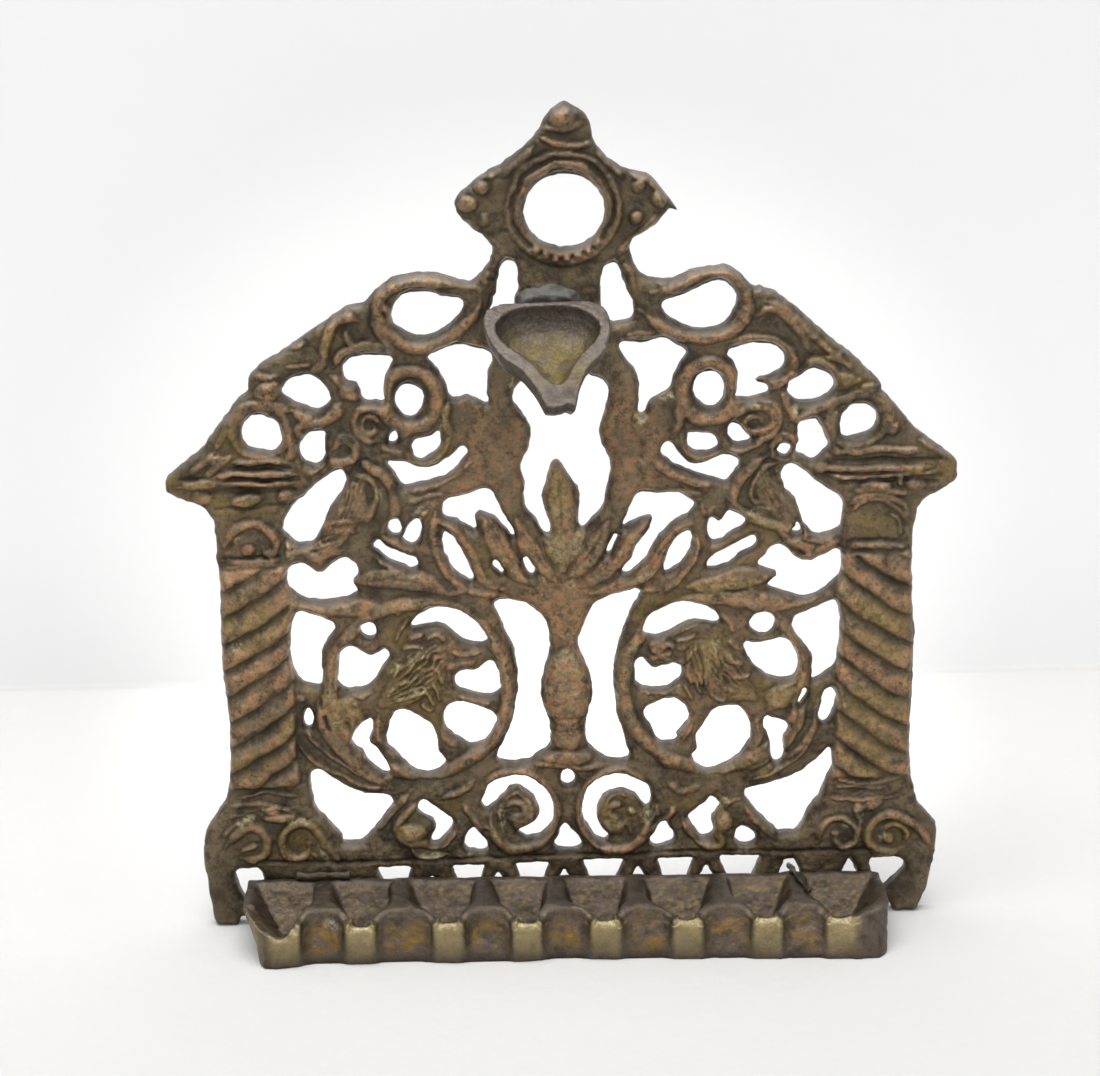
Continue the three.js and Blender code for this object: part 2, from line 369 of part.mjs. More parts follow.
    [126.7, 583.4],
  ],
  haunchLeft: [
    [-154.5, 616.7], [-152, 614.6], [-152, 608.2], [-153.6, 601.8], [-158, 595.4], [-165, 590.3],
    [-171.8, 586], [-178, 584.5], [-183, 585.8], [-187, 589], [-188.6, 595.4], [-188.3, 601.8],
    [-185.7, 606.3], [-178.7, 608], [-170, 609], [-164, 611], [-158.8, 614.6],
  ],
  haunchRight: [
    [158.8, 609.5], [168.3, 609], [178.7, 608], [189, 607], [194.3, 603.4], [197.5, 597.8],
    [195.2, 593], [189, 589.3], [181.3, 587.7], [171.8, 588.2], [164, 590.6], [158.8, 594.6],
    [157, 601.8], [157.6, 606.6],
  ],
  wingSlotRight: [
    [215, 620.2], [220.3, 619], [225.5, 615.4], [230.7, 609], [236.8, 604.2], [237.7, 601.5],
    [235, 599], [228, 598.6], [222, 597.3], [217, 598.6], [212.5, 603.4], [208.6, 609], [208.6, 614.6],
    [211.3, 619],
  ],
  wingSlotLeft: [
    [-209, 617.8], [-206.5, 616], [-205.6, 611.4], [-209, 605.8], [-212.5, 604], [-217.7, 605],
    [-218.3, 608.2], [-216.5, 613.8], [-212.5, 616],
  ],
  rosetteNickRight: [
    [270.3, 588.2], [274.7, 593], [279, 594], [286.8, 592.5], [290, 591], [288.5, 585.8], [282.5, 580.4],
    [277.3, 583.4], [272, 585],
  ],
  curlLeft: [
    [-208.2, 656.3], [-206.5, 664.3], [-201.3, 670.7], [-195.2, 673], [-188.3, 672.8], [-180.5, 670],
    [-174.4, 666], [-171.8, 659.5], [-173.2, 651.5], [-177, 644.3], [-182.2, 638], [-188.3, 635.4],
    [-195.2, 636.7], [-201.3, 641], [-206.5, 647.5],
  ],
  curlRight: [
    [164, 662.7], [165.7, 670.7], [171, 677], [178.7, 681.4], [186.5, 682.4], [194.3, 680.3],
    [200.4, 675.5], [203.5, 667.5], [204.2, 659.5], [202, 651.5], [197.8, 645], [191, 642],
    [183, 642.2], [176, 646], [169.2, 652.3], [165.7, 658],
  ],
  sideEyeLeft: [
    [-295.5, 617], [-300.7, 619], [-307.6, 619], [-316.3, 617.5], [-323.2, 613], [-328.4, 605.8],
    [-329.8, 598.6], [-327.5, 590.6], [-322.3, 584.2], [-316.3, 581], [-311, 579.7], [-306, 581.3],
    [-300.7, 585.8], [-297.7, 592.2], [-296.8, 601.8], [-297.5, 609.8],
  ],
  sideEyeRight: [
    [296.3, 617], [299.8, 619.4], [309.3, 620.2], [315.4, 621.8], [319.7, 623.4], [323.2, 621],
    [325.8, 615.4], [329.3, 609], [333.6, 601], [336, 594.6], [334.5, 589], [329.3, 585.8], [325, 581],
    [319.7, 577.4], [314.5, 575.8], [310.2, 577], [305, 581], [298, 583.8], [294.6, 587.4],
    [295.5, 593.8], [298, 599.4], [297.5, 608.2],
  ],
  gableRoundLeft: [
    [-401.2, 619.4], [-400.3, 625.8], [-396, 633], [-389, 638], [-380.4, 639.5], [-374.3, 639],
    [-368.3, 636.3], [-360.5, 633], [-354.4, 627.4], [-351.3, 619.4], [-351.4, 609.8],
    [-354.4, 603.4], [-359.6, 598.6], [-365.7, 597.3], [-373.5, 597.8], [-380.4, 600], [-388.2, 601.8],
    [-395, 603.4], [-399.5, 609], [-400.7, 614.6],
  ],
  gableRoundRight: [
    [350.4, 619.4], [351, 625.8], [354.4, 630.6], [358.7, 633.8], [361.3, 638], [370, 640],
    [379.5, 640], [387.3, 638], [393.4, 633], [396.5, 627.4], [397, 621], [394.6, 615.4],
    [390, 610.6], [382, 606.6], [373.5, 604.2], [365.7, 602.6], [359.6, 601.3], [354.4, 603],
    [351, 609],
  ],
  gableOvalLeft: [
    [-350.6, 670], [-346.6, 672.3], [-343, 678], [-338, 682], [-329.3, 684.6], [-320.6, 686.4],
    [-313.7, 686], [-308.5, 682.7], [-301.5, 679.5], [-294.6, 673], [-289.4, 666], [-288.2, 658.7],
    [-291, 654], [-297.2, 649], [-306, 646.3], [-312.8, 647], [-319.7, 650], [-326.7, 654], [-337, 657],
    [-343, 661], [-348.3, 666],
  ],
  gableOvalRight: [
    [282.8, 662.7], [285, 667.5], [292, 670.7], [299.8, 675.2], [306, 680], [311, 683.2],
    [317, 683.8], [324, 681.4], [331, 679], [337, 675.5], [341, 670.7], [342, 664.3], [338.8, 658.7],
    [332.7, 654], [325, 650.4], [314.5, 647.5], [304, 646.7], [295.5, 647.5], [288.5, 651.2],
    [284.2, 657],
  ],
  gableSlotLeft: [
    [-266, 703.6], [-259, 706.4], [-250.4, 708], [-240, 708.4], [-229, 708], [-213.4, 706.8],
    [-208.7, 704.4], [-210.8, 700.4], [-216, 694], [-220.3, 686], [-222, 675.5], [-222.4, 666],
    [-221.2, 657], [-224.7, 655], [-229, 656.3], [-233.3, 657.4], [-236, 655.8], [-243, 655.8],
    [-248.6, 658], [-250.7, 662.7], [-250.5, 667.5], [-253, 674], [-255.6, 677.4], [-260.8, 678],
    [-266, 679.5], [-271.2, 685], [-273.3, 692.3], [-272, 698],
  ],
  gableSlotRight: [
    [207.3, 705], [210, 708.4], [218.6, 710.4], [229, 713], [240, 715], [250.4, 715], [260.8, 714.2],
    [270.3, 710.4], [277.3, 704.4], [280.7, 698], [279, 690], [273, 684.3], [262.5, 679.5],
    [254, 677.4], [247, 675.5], [242.3, 672], [247.8, 668.5], [254.7, 666.7], [259, 664],
    [260.3, 659.5], [256.5, 657], [248.7, 655.8], [243, 654.4], [234.2, 651.8], [225.5, 651.5],
    [219, 653], [217.4, 656.3], [220, 662.7], [221, 670.7], [221, 680.3], [218.6, 690], [214.3, 697],
    [209, 701.2],
  ],
  headLeft: [
    [-167, 706], [-163, 708.4], [-158, 709.5], [-152.7, 712.4], [-144, 714.3], [-137, 717.2],
    [-130.2, 719], [-121.5, 719], [-113, 716.4], [-104.2, 714.3], [-95.5, 713.2], [-89.5, 710],
    [-86, 705.2], [-85, 700.4], [-88.6, 695.5], [-91.7, 690], [-92.6, 678.7], [-93.3, 669],
    [-93.8, 661], [-91.2, 654.7], [-91.2, 651.2], [-95.5, 650.2], [-100, 651.8], [-106, 655.5],
    [-113, 659.2], [-119, 660.8], [-125, 660], [-131, 658.2], [-136.3, 656.6], [-140.6, 661],
    [-143.2, 668.3], [-145.8, 678.7], [-149.3, 686], [-154.5, 693], [-160.5, 698.8], [-165.7, 703.6],
  ],
  headRight: [
    [71.8, 714], [74, 718], [77.3, 719.3], [87, 718], [99, 717.7], [107.7, 718.5], [116.3, 721.2],
    [125, 723.3], [132, 722.5], [137, 718.8], [145.8, 713.2], [153.6, 710], [156.6, 706],
    [154.5, 701.2], [149.3, 696.3], [145, 689], [140.6, 680.3], [138.5, 670.7], [135.4, 664.3],
    [130.2, 660], [123.3, 657], [115.5, 653.4], [109.4, 649], [106, 642.7], [104.6, 636.3],
    [100.7, 634.3], [97, 635.4], [95.2, 640.3], [96, 650], [97, 659.5], [97.6, 670.7], [95.5, 680.3],
    [91.2, 688.3], [86, 694], [81, 698.8], [77.3, 705.2],
  ],
  loopLeft: [
    [-210.2, 756.6], [-208, 764], [-203.5, 772], [-198, 778.4], [-186.7, 781.5], [-177.8, 781],
    [-166.6, 781.5], [-155.4, 779.4], [-148.7, 776.3], [-135.2, 775.3], [-126.3, 773.8], [-120.7, 770],
    [-120, 766], [-124, 758.7], [-133, 749.4], [-144.2, 741], [-157.6, 735], [-168.8, 732.2],
    [-177.8, 731.8], [-189, 735], [-200, 741], [-209, 747.3],
  ],
  loopRight: [
    [124.3, 762.8], [127, 766], [140.4, 770], [156, 775.3], [171.7, 782.5], [187.4, 788.7],
    [196.3, 789.7], [205.3, 787], [214.2, 780.4], [218.3, 772], [217.6, 761.8], [212, 751.5],
    [205.3, 742.2], [194, 737], [180.7, 735.3], [167.3, 736], [153.8, 739.5], [140.4, 745.3],
    [129.2, 753.5], [125.2, 759.7],
  ],
  neckLeft: [
    [-66, 817], [-58, 815.6], [-53.6, 809.4], [-52.5, 799], [-52.5, 786.6], [-53.6, 780.4],
    [-57, 772], [-58, 760], [-62, 750], [-72, 745], [-84, 746], [-89, 753], [-88.3, 760.8],
    [-86, 767], [-80.4, 780.4], [-77.5, 795], [-76, 807.3], [-71.5, 814.6],
  ],
  neckRight: [
    [67.7, 813], [71.5, 810.4], [73.3, 803.2], [77.8, 790.8], [83.4, 780.4], [89, 768], [90.7, 755.6],
    [88.5, 749.4], [80, 745.7], [65.5, 744.2], [56, 748], [51, 757], [49, 772], [48.7, 786.6],
    [49.8, 799], [53.6, 807.3], [60, 811],
  ],
  latticeEndLeft: [
    [-434, 65], [-432, 68], [-420, 68.5], [-404, 68], [-399, 64], [-397, 57], [-402, 45], [-412, 34],
    [-420, 30], [-426, 38], [-431, 50],
  ],
  latticeEndRight: [
    [400, 61], [402, 64.5], [417, 65], [434, 65.5], [443, 63.5], [448, 60], [447, 54], [443, 49],
    [435, 42], [428, 35], [421, 29], [413, 34], [406, 46],
  ],
};
const ringHoleShares = { x: 5.4, z: 874.3, rx: 50, rz: 41.5 };
const roundHoleShares = { x: 3.5, z: 181, rx: 9.5, rz: 9 };

// The lattice behind the tray: funnels (place, half width, top), and arches (place, top) between them
const funnelShares = [
  [-225, 23, 68], [-128, 22, 68], [-44, 23, 70], [49, 28, 72], [144, 25, 72], [229, 28, 73],
];
const archShares = [
  [-369, 54], [-273, 54], [-176, 54], [-89, 58], [-2, 60], [95, 62], [185, 63], [374, 67],
];
const funnelTipHalfShare = 8;
const archHalfShare = 21;
const strapArchShare = 295;
const latticeFootShare = 30;

// The tray's plan in thousandths: x of the plate's width, y of the tray's depth from its back
const trayRimShares = [
  [-417, 0], [-419, 350], [-419, 600], [-416, 770], [-405, 900], [-388, 968], [-363, 1000],
  [-327, 1000], [-218, 1000], [-90, 1000], [-13, 1000], [166, 1000], [294, 1000],
  [350, 1000], [381, 975], [400, 900], [411, 780], [414, 620], [414, 400], [413, 0],
];
const trayFootShares = [
  [-391, 0], [-393, 350], [-395, 600], [-397, 780], [-396, 930], [-391, 1025], [-374, 1035],
  [-330, 965], [-218, 955], [-90, 1000], [-13, 957], [166, 1014], [294, 1062],
  [372, 1092], [398, 1070], [408, 960], [410, 790], [409, 620], [408, 400], [407, 0],
];
const spoutShares = [-363, -267, -155, -54, 46, 151, 253, 347];
const dividerShares = [-418, -318, -218, -110, -16, 89, 200, 301, 414];
const trayFootNarrowing = 0.045;
const wellFootNarrowing = 0.5;
const trayLean = 0.09;
const dividerHalf = 1.65;
const spoutHalf = 3.3;
const channelHalf = 1.9;
const nicheTopReach = 5.1;
const nicheFootReach = 0.6;
const nicheSteps = 20;
const footFrontShare = 950;
const lipTopHalf = 2.7;
const lipFootHalf = 1.9;
const lipDips = [2.4, 2.2, 1.8, 1.9, 1.7, 1.6, 1.5, 1.5];

// The first font's broken corner: x in thousandths of the plate's width, z of the tray's height
const brokenCornerShares = [[-430, 1040], [-417, 1000], [-374, 580], [-362, 610], [-346, 1040]];
const brokenCornerReach = 7.5;

// A well's side from its divider to its spout, in thousandths: of the way across, of the tray's depth
const wellBendShares = [[0, 542], [280, 667], [500, 727], [880, 833]];
const endWellBendShares = [[0, 565], [170, 731], [465, 824]];

// The heart-shaped font's half plan in thousandths of its length: half width, distance from the back rim
const fontHalfShares = [
  [284, 0], [345, 23], [400, 65], [423, 129], [429, 194], [423, 265], [410, 335], [387, 406], [358, 481],
  [323, 532], [268, 587], [223, 642], [190, 710], [158, 784], [135, 855], [116, 929],
];
const fontTipShares = [[100, 985], [85, 1000], [45, 955], [30, 985], [-40, 1000], [-100, 990]];
const fontWellHalfShares = [
  [129, 40], [226, 68], [300, 129], [345, 194], [352, 265], [332, 335], [294, 406], [226, 481],
  [181, 532], [145, 587], [113, 642], [87, 710], [29, 784],
];
const fontHeartShare = 300;
const fontFootScale = 0.45;
const fontWellFootScale = 0.4;
const fontWellDepth = 6.6;
const fontBackY = 7;
const fontRimZ = 777.5 * upMm;
const fontCentreX = -22 * acrossMm;
const fontLevels = [0, 0.3, 0.6, 0.85, 1];
const rootWidth = 11;
const rootHeight = 5;
const rootDrop = 1.5;
const rootShift = 1;
const solderHalfWidth = 7.3;
const solderHeight = 4.2;
const solderReach = 1.8;

// Small fixings
const strapRadius = 0.6;
const strapReach = 13;
const beadRadius = 0.9;
const beadLength = 12;

// Wall shapes
const windowRise = Math.tan(THREE.MathUtils.degToRad(18));
const cutterDepth = 12;
const reliefSink = 0.4;
const reliefFull = 2;
const reliefMm = reliefFull / perThousand;
const vaseRound = 1.8;
const vaseCentreShare = 2;
const mirrorShare = 6;
const reliefSides = 5;
const reliefStep = 5;
const ringSteps = 14;
const bossSteps = 8;
const bossRows = 4;
const outlineTolerance = 0.14;
const outlineStep = 6;

const wasm = await Module();
wasm.setup();
const { Manifold, Mesh } = wasm;

// A closed body from an indexed or loose geometry
function body(geometry) {
  const bare = new THREE.BufferGeometry();
  bare.setAttribute("position", geometry.getAttribute("position"));
  bare.setIndex(geometry.index);
  const welded = mergeVertices(bare);
  const triangles = [];
  for (let i = 0; i < welded.index.count; i += 3) {
    const [a, b, c] = [0, 1, 2].map((k) => welded.index.getX(i + k));
    if (a !== b && b !== c && c !== a) {
      triangles.push(a, b, c);
    }
  }
  const positions = welded.getAttribute("position").array;
  return new Manifold(new Mesh({
    numProp: 3,
    vertProperties: Float32Array.from(positions),
    triVerts: Uint32Array.from(signedVolume(positions, triangles) > 0 ? triangles : flipped(triangles)),
  }));
}

function plateLoop(shares) {
  return shares.map(([x, z]) => [x * acrossMm, z * upMm]);
}

// An outline without the points that lie almost on the line between their neighbours
function thinned(loop) {
  const kept = [loop[0]];
  for (let i = 1; i < loop.length - 1; i += 1) {
    const [ax, az] = kept[kept.length - 1];
    const [bx, bz] = loop[i + 1];
    const chord = Math.hypot(bx - ax, bz - az);
    const off = Math.abs((bx - ax) * (loop[i][1] - az) - (bz - az) * (loop[i][0] - ax)) / chord;
    const step = Math.hypot(loop[i][0] - ax, loop[i][1] - az);
    if (off > outlineTolerance || step > outlineStep) {
      kept.push(loop[i]);
    }
  }
  return [...kept, loop[loop.length - 1]];
}

function signedArea(loop) {
  return THREE.ShapeUtils.area(loop.map(([u, v]) => new THREE.Vector2(u, v)));
}

// A loop carried through levels, capped at both ends; place turns (u, v, level, index, loop) into a point
function loft(loop, levels, place) {
  const ring = signedArea(loop) > 0 ? loop : [...loop].reverse();
  const count = ring.length;
  const positions = levels.flatMap((level) => ring.flatMap(([u, v], i) => place(u, v, level, i, ring)));
  const caps = THREE.ShapeUtils.triangulateShape(ring.map(([u, v]) => new THREE.Vector2(u, v)), []);
  const top = (levels.length - 1) * count;
  const index = [];
  for (const [a, b, c] of caps) {
    index.push(a, c, b);
    index.push(top + a, top + b, top + c);
  }
  for (let level = 0; level < levels.length - 1; level += 1) {
    for (let i = 0; i < count; i += 1) {
      const low = level * count;
      const j = (i + 1) % count;
      index.push(low + i, low + j, low + count + j);
      index.push(low + i, low + count + j, low + count + i);
    }
  }
  const geometry = new THREE.BufferGeometry();
  geometry.setAttribute("position", new THREE.Float32BufferAttribute(positions, 3));
  geometry.setIndex(index);
  return body(geometry);
}

function signedVolume(positions, index) {
  const corner = (i) => new THREE.Vector3().fromArray(positions, 3 * i);
  let total = 0;
  for (let i = 0; i < index.length; i += 3) {
    total += corner(index[i]).dot(corner(index[i + 1]).cross(corner(index[i + 2])));
  }
  return total;
}

function flipped(index) {
  const out = [];
  for (let i = 0; i < index.length; i += 3) {
    out.push(index[i], index[i + 2], index[i + 1]);
  }
  return out;
}

// A slab that stands in the plate's plane, from one depth behind its front to another
function uprightSlab(loop, backY, frontY) {
  return loft(loop, [backY, frontY], (x, z, y) => [x, y, z]);
}

// A window: straight at its foot, with a ceiling that rises towards the front
function windowCutter(loop) {
  const rise = (i, ring) => {
    const before = ring[(i + ring.length - 1) % ring.length];
    const after = ring[(i + 1) % ring.length];
    const along = new THREE.Vector2(after[0] - before[0], after[1] - before[1]).normalize();
    return Math.max(0, -along.x) * windowRise;
  };
  const levels = [pieceGap, 0, -plateThickness, -cutterDepth];
  return loft(loop, levels, (x, z, y, i, ring) => [x, y, z + Math.max(0, -y) * rise(i, ring)]);
}

function ellipseLoop({ x, z, rx, rz }, steps) {
  const loop = [];
  for (let i = 0; i < steps; i += 1) {
    const angle = (i / steps) * Math.PI * 2;
    loop.push([(x + rx * Math.cos(angle)) * acrossMm, (z + rz * Math.sin(angle)) * upMm]);
  }
  return loop;
}

function funnelLoop([x, half, top]) {
  return plateLoop([
    [x - funnelTipHalfShare, latticeFootShare], [x + funnelTipHalfShare, latticeFootShare],
    [x + half, top], [x - half, top],
  ]);
}

function archLoop([x, top]) {
  const shoulder = (latticeFootShare + 2 * top) / 3;
  return plateLoop([
    [x - archHalfShare, latticeFootShare], [x + archHalfShare, latticeFootShare],
    [x + archHalfShare / 3, shoulder], [x, top], [x - archHalfShare / 3, shoulder],
  ]);
}

// The taller arch that the strap comes through, over the tray's rim
function strapArchLoop() {
  const x = strapArchShare * acrossMm;
  const foot = latticeFootShare * upMm;
  const footHalf = archHalfShare * acrossMm;
  const top = leaning(x, trayHeight) + 2 * strapRadius + 2 * pieceGap;
  const topHalf = 2 * strapRadius;
  return [[x - footHalf, foot], [x + footHalf, foot], [x + topHalf, top], [x - topHalf, top]];
}

function allWindows() {
  return Manifold.union([
    ...Object.values(windowShares).map((shares) => windowCutter(thinned(plateLoop(shares)))),
    ...funnelShares.map((funnel) => windowCutter(funnelLoop(funnel))),
    ...archShares.map((arch) => windowCutter(archLoop(arch))),
    windowCutter(strapArchLoop()),
    windowCutter(ellipseLoop(ringHoleShares, 36)),
    windowCutter(ellipseLoop(roundHoleShares, 12)),
  ]);
}

// A raised rib of rounded section along a smooth line on the plate's front
function rib(shares, width, height) {
  const points = plateLoop(shares).map(([x, z]) => new THREE.Vector3(x, 0, z));
  const path = new THREE.CatmullRomCurve3(points);
  const radius = width / 2;
  const section = new THREE.Shape();
  for (let i = 0; i < reliefSides; i += 1) {
    const angle = (i / reliefSides) * Math.PI * 2;
    const corner = [radius * Math.cos(angle), radius * Math.sin(angle)];
    i === 0 ? section.moveTo(...corner) : section.lineTo(...corner);
  }
  const steps = Math.max(1, points.length === 2 ? 1 : Math.round(path.getLength() / reliefStep));
  const tube = new THREE.ExtrudeGeometry(section, { extrudePath: path, steps, bevelEnabled: false });
  tube.scale(1, height / radius, 1);
  tube.translate(0, reliefSink - plateThickness, 0);
  return body(tube);
}

// A rounded boss on the front, half sunk
function boss(x, z, rx, rz, height) {
  const ball = new THREE.SphereGeometry(1, bossSteps, bossRows);
  ball.scale(rx * acrossMm, height, rz * acrossMm);
  ball.translate(x * acrossMm, reliefSink - plateThickness, z * upMm);
  return body(ball);
}

// A raised band round a hole
function ring(x, z, rx, rz, width, height) {
  const band = new THREE.TorusGeometry(rx * acrossMm, width / 2, reliefSides, ringSteps);
  band.rotateX(Math.PI / 2);
  band.scale(1, height / (width / 2), (rz * upMm) / (rx * acrossMm));
  band.translate(x * acrossMm, reliefSink - plateThickness, z * upMm);
  return body(band);
}

// A flattened turned stem, such as the vase: radius and height pairs from the foot up
function turned(x, profileShares, height) {
  const widest = Math.max(...profileShares.map(([r]) => r));
  const points = profileShares.map(([r, z]) => new THREE.Vector2(r * acrossMm, z * upMm));
  const low = new THREE.Vector2(0, points[0].y);
  const high = new THREE.Vector2(0, points[points.length - 1].y);
  const stem = new THREE.LatheGeometry([low, ...points, high], bossSteps);
  stem.rotateX(Math.PI / 2);
  stem.scale(1, height / (widest * acrossMm), 1);
  stem.translate(x * acrossMm, reliefSink - plateThickness, 0);
  return body(stem);
}

// Relief: places and widths in thousandths of the plate, heights in thousandths of the tallest relief
const mirroredBossShares = [
  { x: -84, z: 590, rx: 24, rz: 30, high: 750 },
  { x: -122, z: 628, rx: 18, rz: 24, high: 800 },
  { x: -72, z: 640, rx: 12, rz: 34, high: 700 },
  { x: -172, z: 325, rx: 34, rz: 22, high: 850 },
  { x: -122, z: 345, rx: 20, rz: 14, high: 800 },
  { x: -255, z: 520, rx: 22, rz: 42, high: 800 },
  { x: -245, z: 625, rx: 18, rz: 15, high: 750 },
  { x: -278, z: 596, rx: 11, rz: 12, high: 700 },
  { x: -450, z: 100, rx: 16, rz: 16, high: 700 },
  { x: -355, z: 150, rx: 15, rz: 26, high: 750 },
  { x: -200, z: 115, rx: 14, rz: 14, high: 750 },
  { x: -108, z: 888, rx: 17, rz: 17, high: 800 },
];
const middleBossShares = [
  { x: 8, z: 966, rx: 20, rz: 24, high: 800 },
  { x: -52, z: 894, rx: 8, rz: 14, high: 500 },
];
const ringShares = [
  { x: -190, z: 655, rx: 30, rz: 30, wide: 18, high: 650 },
  { x: 184, z: 662, rx: 31, rz: 31, wide: 18, high: 650 },
  { x: -405, z: 487, rx: 26, rz: 20, wide: 26, high: 1000 },
  { x: 405, z: 490, rx: 26, rz: 20, wide: 26, high: 1000 },
  { x: -187, z: 301, rx: 115, rz: 108, wide: 16, high: 650 },
  { x: 192, z: 301, rx: 116, rz: 108, wide: 16, high: 650 },
  { x: 5.4, z: 874, rx: 64, rz: 54, wide: 21, high: 900 },
  { x: -166, z: 757, rx: 60, rz: 37, wide: 18, high: 650 },
  { x: 174, z: 763, rx: 62, rz: 38, wide: 18, high: 650 },
  { x: -415, z: 100, rx: 18, rz: 17, wide: 18, high: 700 },
  { x: 420, z: 100, rx: 20, rz: 18, wide: 18, high: 700 },
  { x: -65, z: 143, rx: 20, rz: 18, wide: 14, high: 600 },
  { x: 70, z: 134, rx: 20, rz: 18, wide: 14, high: 600 },
];
const ribShares = [
  { line: [[-466, 78], [478, 78]], wide: 16, high: 650 },
  { line: [[-472, 584], [-345, 586]], wide: 15, high: 650 },
  { line: [[345, 585], [478, 584]], wide: 15, high: 650 },
  { line: [[-484, 566], [-330, 566]], wide: 16, high: 700 },
  { line: [[325, 564], [488, 564]], wide: 16, high: 700 },
  { line: [[-378, 684], [-340, 702], [-295, 726], [-258, 748]], wide: 41, high: 750 },
  { line: [[392, 664], [352, 694], [305, 728], [262, 758]], wide: 41, high: 750 },
  { line: [[-8, 470], [-6, 510], [-5, 545], [-6, 572]], wide: 20, high: 750 },
  { line: [[-5, 480], [-30, 450], [-62, 420], [-100, 412], [-150, 420]], wide: 18, high: 650 },
  { line: [[8, 480], [35, 452], [66, 430], [105, 424], [155, 428]], wide: 18, high: 650 },
  { line: [[-200, 440], [-160, 452], [-166, 480], [-200, 520]], wide: 14, high: 600 },
  { line: [[205, 435], [170, 448], [176, 480], [215, 526]], wide: 14, high: 600 },
];
const vaseShares = [
  [8, 196], [18, 204], [14, 214], [12, 232], [15, 250], [25, 272], [29, 292], [26, 312], [17, 334],
  [12, 350], [12, 366], [20, 382],
];
const columnCentreShares = [-394, 401];
const columnHalfShare = 38;
const columnFootShare = 165;
const columnHeadShare = 462;
const strandPitchShare = 49;
const strandRiseShare = 36;
const columnRound = 1.2;
const strandWidth = 5;
const strandHeight = 1.9;
const dentilShares = [-452, -399, -346];
const dentilWidthShares = [22, 40, 26];
const dentilFootShare = 529;
const dentilTopShare = 545;
const dentilHeight = 1.2;

function twistedColumn(centre) {
  const side = Math.sign(centre);
  const shaft = rib([[centre, columnFootShare], [centre, columnHeadShare]],
    2 * columnHalfShare * acrossMm, columnRound);
  const strands = [];
  for (let z = columnFootShare; z + strandRiseShare <= columnHeadShare; z += strandPitchShare) {
    const inner = [centre - side * columnHalfShare, z + strandRiseShare];
    const outer = [centre + side * columnHalfShare, z];
    strands.push(rib([inner, outer], strandWidth, strandHeight));
  }
  return Manifold.union([shaft, ...strands]);
}

function dentils(side) {
  return dentilShares.map((x, i) => {
    const half = dentilWidthShares[i] / 2;
    const loop = plateLoop([
      [side * x - half, dentilFootShare], [side * x + half, dentilFootShare],
      [side * x + half, dentilTopShare], [side * x - half, dentilTopShare],
    ]);
    return uprightSlab(loop, reliefSink - plateThickness, -plateThickness - dentilHeight);
  });
}

function backPlate() {
  const slab = uprightSlab(thinned(plateLoop(outlineShares)), 0, -plateThickness);
  const raised = Manifold.union([
    slab,
    turned(vaseCentreShare, vaseShares, vaseRound),
    ...mirroredBossShares.map((b) => boss(b.x, b.z, b.rx, b.rz, b.high * reliefMm)),
    ...mirroredBossShares.map((b) => boss(mirrorShare - b.x, b.z, b.rx, b.rz, b.high * reliefMm)),
    ...middleBossShares.map((b) => boss(b.x, b.z, b.rx, b.rz, b.high * reliefMm)),
    ...ringShares.map((r) => ring(r.x, r.z, r.rx, r.rz, r.wide * acrossMm, r.high * reliefMm)),
    ...ribShares.map((r) => rib(r.line, r.wide * acrossMm, r.high * reliefMm)),
    ...columnCentreShares.map(twistedColumn),
    ...dentils(1),
    ...dentils(-1),
  ]);
  // Nothing raised runs past the plate's own edge
  const inside = uprightSlab(thinned(plateLoop(outlineShares)), 0, -cutterDepth);
  return raised.intersect(inside).subtract(allWindows());
}

// The tray
const trayBack = plateThickness + pieceGap;
const trayDepth = trayFront - trayBack;

// The wells narrow towards their floor
function tapered(x, z) {
  return x * (1 - trayFootNarrowing * (1 - z / trayHeight));
}

// The rim falls a little from the left end to the right one
function leaning(x, z) {
  const trayWidth = (dividerShares[dividerShares.length - 1] - dividerShares[0]) * acrossMm;
  return z * (1 - trayLean * (0.5 + x / trayWidth));
}

// How far forward the tray's uneven foot lies at a place across it
function footFront(x) {
  const corners = trayFootShares.filter(([, y]) => y > footFrontShare);
  const after = corners.findIndex(([share]) => share * acrossMm > x);
  const [[x0, y0], [x1, y1]] = [corners[after - 1], corners[after]];
  const share = (x / acrossMm - x0) / (x1 - x0);
  return -trayBack - ((y0 + (y1 - y0) * share) / perThousand) * trayDepth;
}

// A hollow between two spouts: shallow at the foot, deep at the rim, and open in front
function niche(left, right) {
  const half = (right - left) / 2 - spoutHalf;
  const loop = [];
  for (let i = 0; i < nicheSteps; i += 1) {
    const angle = (i / nicheSteps) * Math.PI * 2;
    const power = 2 / 3;
    const bulge = (value) => Math.sign(value) * Math.abs(value) ** power;
    loop.push([(left + right) / 2 + half * bulge(Math.cos(angle)), bulge(Math.sin(angle))]);
  }
  const levels = [-pieceGap, trayHeight + pieceGap];
  return loft(loop, levels, (x, v, z) => {
    const share = z / trayHeight;
    const reach = v > 0 ? nicheFootReach + (nicheTopReach - nicheFootReach) * share : nicheTopReach;
    const front = footFront(x) + (-trayFront - footFront(x)) * share;
    return [x, front + v * reach, z];
  });
}

